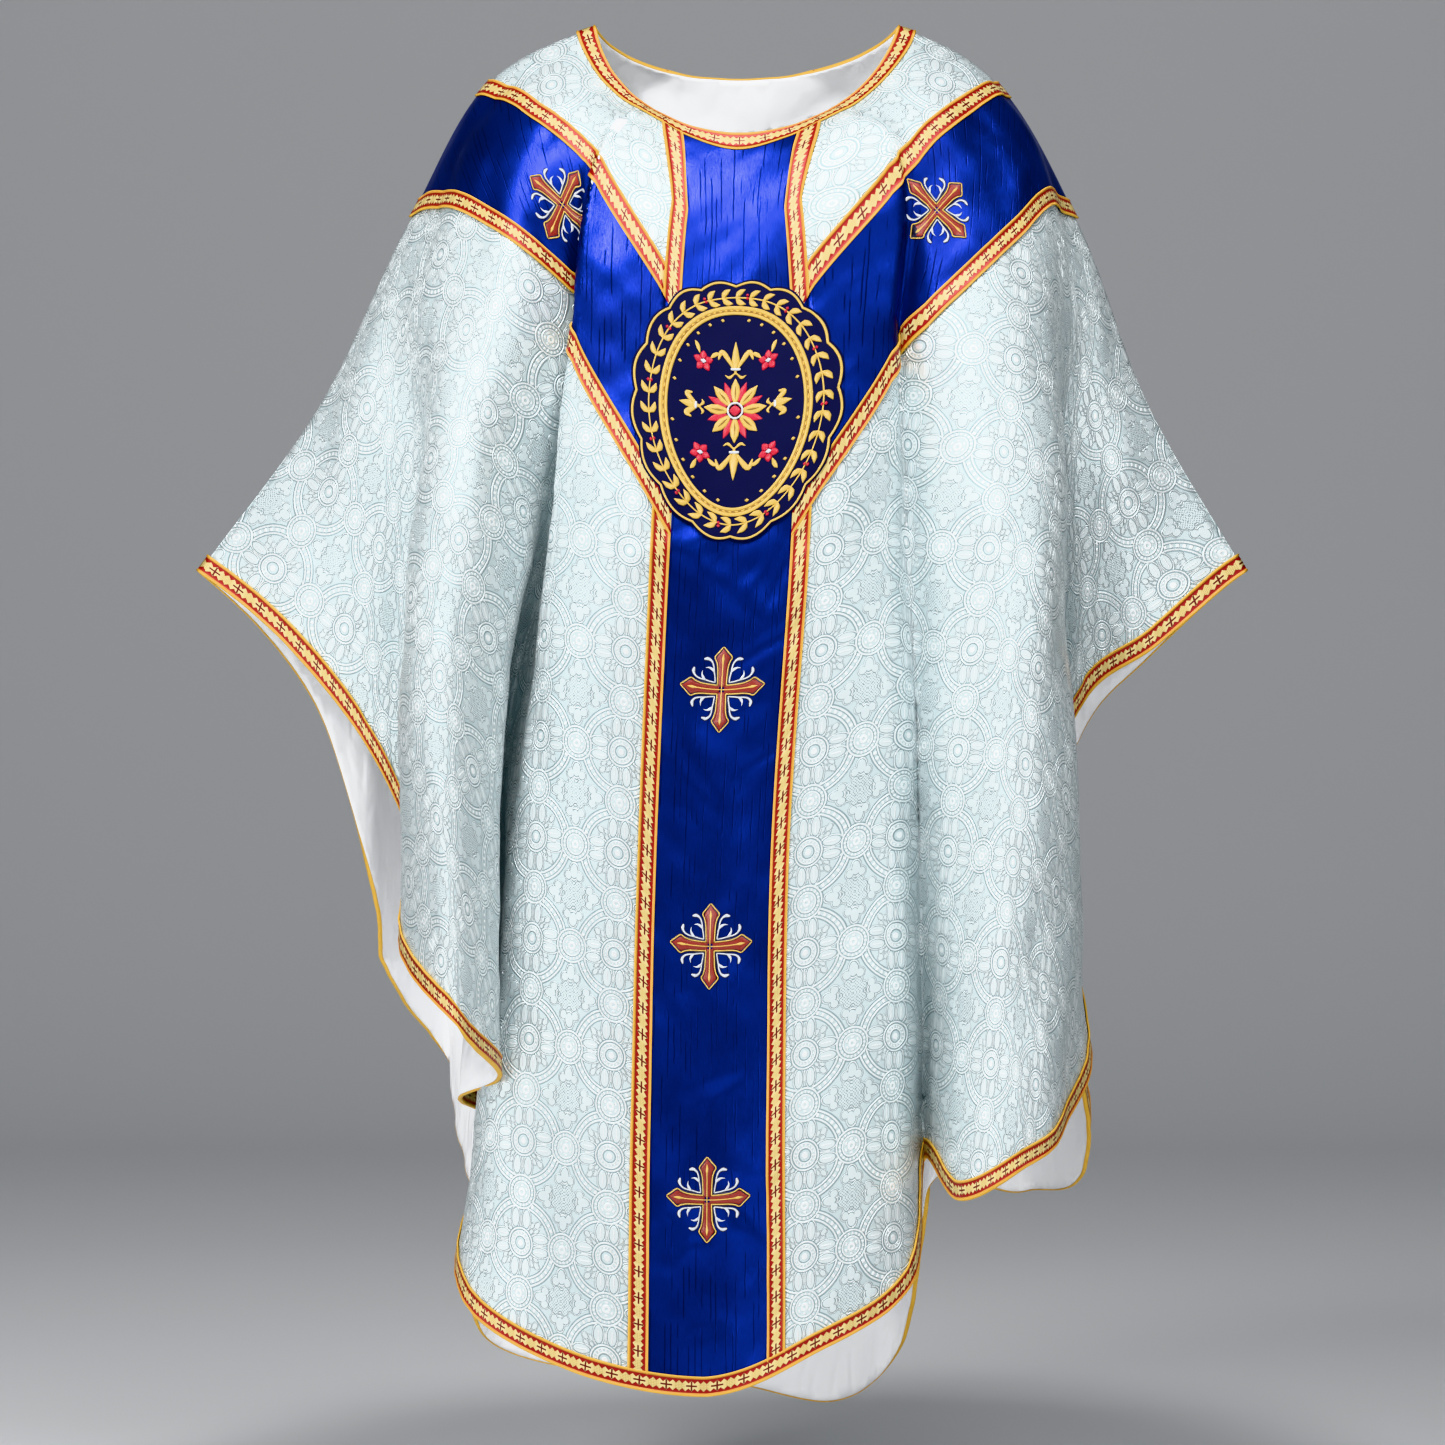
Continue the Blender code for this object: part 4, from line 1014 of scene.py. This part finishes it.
def crossPiece(name, centre, turn=0.0):
    work = Embroidery(name, front, [rustThread, goldThread, silverThread, shadowOutlineThread], "cross")
    base = levels["cross"]
    size = crosses["reach"] / crosses["drawn"]

    def sew(path, places, widths, rise, lift, thread, lanes=5, grow=0.0):
        # a stroke in the drawing's units, its rise and lift in mm
        width = np.interp(np.linspace(0, 1, len(path)), places, widths) + grow
        work.stroke(np.array(centre) + turned(path * size, turn + quarter * math.pi / 2), width * size,
                    rise * mm, base + lift * mm, thread, lanes)

    for quarter in range(4):
        out = np.stack([np.linspace(0, 1, 20), np.zeros(20)], 1)
        lobe = ((0, 0.5, 0.66, 0.76, 0.96, 1), (7.6, 8.6, 11.0, 15.2, 2.0, 0.8))
        sew(38.5 * out + (2.6, 0), *lobe, 0.25, 0, 3, grow=5.6)       # painted shadow: a wider navy stroke shows as a dark outline round the lobe
        sew(37.5 * out + (2.6, 0), *lobe, 0.75, 0.15, 0, lanes=7)
        for side in (-1, 1):
            edge, sprig, leaf = (curve(np.array(crosses[path]) * (1, side), count)
                                 for path, count in (("edge", 26), ("sprig", 24), ("leaf", 12)))
            tendril = ((0, 0.5, 0.72, 0.88, 1), (1.2, 1.4, 2.0, 3.4, 1.2))
            sew(edge, (0, 1), (1.25, 1.25), 0.75, 0.35, 1)
            # a wider navy stroke under each sprig, painted shadow round it
            sew(sprig, *tendril, 0.2, 0, 3, grow=1.6)
            sew(sprig, *tendril, 0.8, 0.15, 2)
            sew(leaf, (0, 0.35, 1), (1.2, 3.1, 0.3), 0.8, 0.15, 2)
        core = np.stack([np.linspace(0, 1, 16), np.zeros(16)], 1)
        sew(35.0 * core, (0, 0.72, 0.86, 1), (1.0, 1.1, 3.2, 0.6), 0.7, 0.62, 1)
    return work.finish()


for number, down in enumerate(crosses["column"], 1):
    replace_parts(crossPiece(f"columnCross_{number}", (0, down)), f"column_cross_{number}")
for hand, sign in hands:
    lean = sign * (math.pi / 2 - orphrey["slant"])     # square to the arm's edges
    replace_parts(crossPiece(f"armCross_{hand}", crosses[hand], lean), f"arm_cross_{hand}")
print("crosses stitched")

medallion = {
    "centre": (0, 0.422), "half": (100 * mm, 124 * mm), "ring": (70.8 * mm, 97.5 * mm), "lobes": 16,
    "scallop": 4.5 * mm, "wall": 1.2 * mm}


def oval(halfX, halfY, count, grow=0.0):
    turn = np.linspace(0, 2 * math.pi, count, endpoint=False)
    spread = grow * np.abs(np.sin(turn * medallion["lobes"] / 2))
    return np.stack([(halfX + spread) * np.cos(turn), (halfY + spread) * np.sin(turn)], 1)


def medallionPatch():
    # felt shape on a closed grid of rings: the top, the rolled rim and the underside
    rim = oval(*medallion["half"], 16 * medallion["lobes"], medallion["scallop"])
    top = np.linspace(0.02, 0.985, 30)
    shares, heights = [*top, 1, 1, *top[::-1]], [1.0] * 30 + [0.7, -0.2] + [-0.5] * 30
    flat = np.concatenate([rim * share for share in shares]) + medallion["centre"]
    height = levels["medallion"] + medallion["wall"] * np.repeat(heights, len(rim))
    grid = np.arange(len(flat)).reshape(len(shares), -1)
    beside = np.roll(grid, -1, axis=1)
    faces = np.stack([grid[:-1], grid[1:], beside[1:], beside[:-1]], -1).reshape(-1, 4)
    return turnOutward(newPiece("medallionPatch", front.onCloth(flat, height),
                                [grid[0, ::-1], *faces, grid[-1]], flat, [navyFelt]))


def medallionEmbroidery():
    # a rosette between four lilies and four flowers inside a corded ring, and a laurel wreath outside it
    work = Embroidery("medallionEmbroidery", front, [goldThread, redThread, silverThread, darkGoldThread],
                      "emblem")
    base = levels["medallion"] + medallion["wall"]
    centre = np.array(medallion["centre"])
    halfX, halfY = medallion["half"]
    ringX, ringY = medallion["ring"]

    def leaf(points, widths, rise, thread, lift=0.0, count=13, lanes=7):
        at = np.linspace(0, 1, count)
        work.stroke(centre + curve(points, count) * mm,
                    np.interp(at, np.linspace(0, 1, len(widths)), widths) * mm, rise * mm,
                    base + lift * mm, thread, lanes)

    def stitch(spot, run, widths, rise, thread, lift=0.0):
        # a short one, with its run to both sides of a spot
        leaf([spot - run, spot, spot + run], widths, rise, thread, lift, 7, 5)

    def cord(halfX, halfY, count, width, rise, thread=0, lift=0.0, lanes=5, scallop=0.0):
        work.stroke(centre + oval(halfX, halfY, count, scallop), width * mm, rise * mm, base + lift * mm,
                    thread, lanes, closed=True)

    def ray(angle, *distances):
        return np.outer(distances, turned([(1.0, 0.0)], angle)[0])

    # corded ring: two gold cords with couching stitches between them
    for grow, width in ((-2.6 * mm, 3.3), (2.6 * mm, 3.9)):
        cord(ringX + grow, ringY + grow, 180, width, 1.7, lanes=7)
    cord(ringX, ringY, 180, 3.4, 1.0, 3)
    track = oval(ringX, ringY, 288) / mm
    for k in range(0, 288, 4):
        leaf(track[k:k + 3], (0.8, 2.0, 0.8), 0.8, 0, 0.7, 5, 5)

    # a rope that follows the scalloped rim, and the laurel wreath with its berries
    cord(halfX - 3 * mm, halfY - 3 * mm, 320, 2.4, 1.3, scallop=medallion["scallop"])
    cord(ringX + 14.5 * mm, ringY + 12.5 * mm, 288, 1.6, 0.9)
    vine = oval(ringX + 14.5 * mm, ringY + 12.5 * mm, 288) / mm
    for k in range(0, 288, 8):
        here, run = vine[k], unit(vine[k + 2] - vine[k - 2])
        outside = np.array([run[1], -run[0]])
        for side, size in ((1, 7.6), (-1, 6.8)):
            tip = here + run * 10.5 + side * outside * size
            leaf([here, here + run * 4.0 + side * outside * 4.6, tip], (1.4, 6.0, 5.4, 0.6), 1.7, 0)
        for shift in (-1.6, 1.6) if k % 24 == 0 else ():
            stitch(here + run * 12.5 + outside * shift, run * 1.6, (1.0, 3.4, 1.0), 1.6, 1, 0.3)

    # rosette: eight gold petals over eight red ones, a silver ring and a red eye
    eighths = [k * math.pi / 4 for k in range(8)]
    for angle in eighths:
        leaf(ray(angle + math.pi / 8, 9, 18, 29), (2.0, 7.5, 8.5, 5.5, 0.6), 1.2, 1)
    for angle in eighths:
        leaf(ray(angle, 6, 17, 31), (2.5, 7.0, 10.5, 8.5, 0.6), 1.6, 0, 0.4)
        leaf(ray(angle, 11, 17, 24), (0.8, 2.6, 0.8), 0.9, 3, 1.6, 7, 5)
    cord(7.4 * mm, 7.4 * mm, 36, 2.2, 1.4, 2, 1.3)
    leaf([(-5.6, 0), (0, 0), (5.6, 0)], (2, 8.5, 11.0, 8.5, 2), 2.2, 1, 0.8)

    # a lily on each of the four sides, drawn along and across its stem
    for aimX, aimY, root, size in ((0, -1, 35, 1), (0, 1, 35, 1), (-1, 0, 34, 0.66), (1, 0, 34, 0.66)):
        def drawn(*points):
            return np.array((aimX, aimY)) * root + np.array(points) @ [(aimX, aimY), (-aimY, aimX)] * size

        leaf(drawn((0, 0), (14, 0), (32, 0)), (1.5, 5.0, 9.0, 6.0, 0.5), 1.7, 0, 0.2)
        for side in (-1, 1):
            leaf(drawn((2 / size, 0), (12, side * 6), (21, side * 14), (13, side * 18)),
                 (1.2, 3.6, 5.6, 5.0, 1.4), 1.4, 0, 0, 17)
            leaf(drawn((2 / size, 0), (-3, side * 6), (-1, side * 11)), (1.0, 3.4, 0.6), 1.2, 0)
        leaf(drawn((5 / size, -5), (5 / size, 0), (5 / size, 5)), (2.4, 3.0, 2.4), 1.2, 2, 1.3, 7, 5)

    # a red flower with cream centre and gold leaves in each quarter
    for sx, sy in ((-1, -1), (-1, 1), (1, -1), (1, 1)):
        spot = np.array([sx * 33.0, sy * 44.0])
        for k in range(5):
            petal = ray(k * 2 * math.pi / 5 + sy * math.pi / 2, 2.0, 5.5, 10.0)
            leaf(spot + petal, (2.5, 6.0, 7.6, 5.5, 1.2), 1.7, 1)
        stitch(spot, np.array([2.8, 0]), (1.0, 5.0, 1.0), 1.3, 2, 1.2)
        for angle in (-0.75, 0.75):
            aim = turned(unit(np.array([[sx * -0.30, sy * 1.0]])), angle)
            leaf(spot + np.outer((8, 14, 20), aim) + [(0, 0), (0, sy * 1.5), (0, 0)],
                 (1.0, 4.4, 4.0, 0.5), 1.2, 0)
    for k, spot in enumerate(oval(ringX - 8.5 * mm, ringY - 8.5 * mm, 28) / mm):
        if k % 7:
            stitch(spot, np.array([1.9, 0]), (0.8, 3.8, 0.8), 1.3, 0)
    return work.finish()


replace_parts(medallionPatch(), "medallion")
medallionEmbroidery()
print("medallion stitched")

# Each cloth's flat width and height are worked out here, but nothing is kept
declareSheet(body["frontBrocade"], ["backBrocade"])
declareSheet(body["backBrocade"], ["frontBrocade"])
for key, side in (("frontLining", "front"), ("backLining", "back"), ("facing", "back")):
    declareSheet(body[key], [side + "Brocade"])
for side, panel in panels:
    for cut in body[side + "Blue"]:
        declareSheet(cut, [side + "Brocade"])

studio = {
    "floorZ": -1.50, "frontY": -8.0, "wallY": 7.5, "wallZ": 7.0, "sweep": 2.6, "width": 26.0,
    "grey": (0.80, 0.80, 0.81),
    "lights": (("key", (-1.7, -3.2, 1.9), (0, 0, -0.55), 0.9, 108),
               ("top", (1.0, -2.6, 2.4), (0.1, 0, -0.3), 1.6, 50),
               ("fill", (2.4, -3.6, 0.2), (0, 0, -0.75), 1.6, 32),
               ("low", (-2.6, -2.8, -1.1), (0, 0, -0.9), 1.4, 34),
               ("side", (-3.3, -1.3, -0.2), (-0.2, 0.05, -0.75), 1.2, 16),
               ("collar", (-0.1, -1.6, 1.9), (0, 0.09, -0.02), 0.4, 50)),
    "air": (0.82, 0.88, 0.95), "airStrength": 0.16}


def layStage():
    bend = np.linspace(0, math.pi / 2, 30)
    rise = zip(studio["wallY"] - studio["sweep"] + studio["sweep"] * np.sin(bend),
               studio["floorZ"] + studio["sweep"] * (1 - np.cos(bend)))
    line = [(studio["frontY"], studio["floorZ"]), *rise, (studio["wallY"], studio["wallZ"])]
    points = [(x, y, z) for y, z in line for x in (-studio["width"] / 2, studio["width"] / 2)]
    faces = [(2 * i, 2 * i + 1, 2 * i + 3, 2 * i + 2) for i in range(len(line) - 1)]
    mesh = bpy.data.meshes.new("paperSweep")
    mesh.from_pydata(points, [], faces)
    mesh.polygons.foreach_set("use_smooth", [True] * len(faces))
    paper = Finish("greyPaper", 0.9, **{"Base Color": (*studio["grey"], 1)})
    mesh.materials.append(paper.material)
    addObject("paperSweep", mesh)
    for name, place, target, size, power in studio["lights"]:
        lamp = bpy.data.lights.new(name, "AREA")
        lamp.size, lamp.energy = size, power
        light = addObject(name, lamp)
        light.location = place
        light.rotation_euler = (Vector(target) - Vector(place)).to_track_quat("-Z", "Y").to_euler()
    world = bpy.data.worlds.new("studioAir")
    world.use_nodes = True
    air = world.node_tree.nodes["Background"]
    air.inputs["Color"].default_value = (*studio["air"], 1)
    air.inputs["Strength"].default_value = studio["airStrength"]
    bpy.context.scene.world = world
    bpy.context.scene.view_settings.view_transform = "Khronos PBR Neutral"


def addCamera():
    data = bpy.data.cameras.new("camera")
    data.lens, data.sensor_width = 128.4, 36.0
    camera = addObject("camera", data)
    camera.location = (-0.024, -5.10, -0.672)
    camera.rotation_euler = (math.pi / 2, 0, 0)
    bpy.context.scene.camera = camera


layStage()
addCamera()
print("stage and camera set")
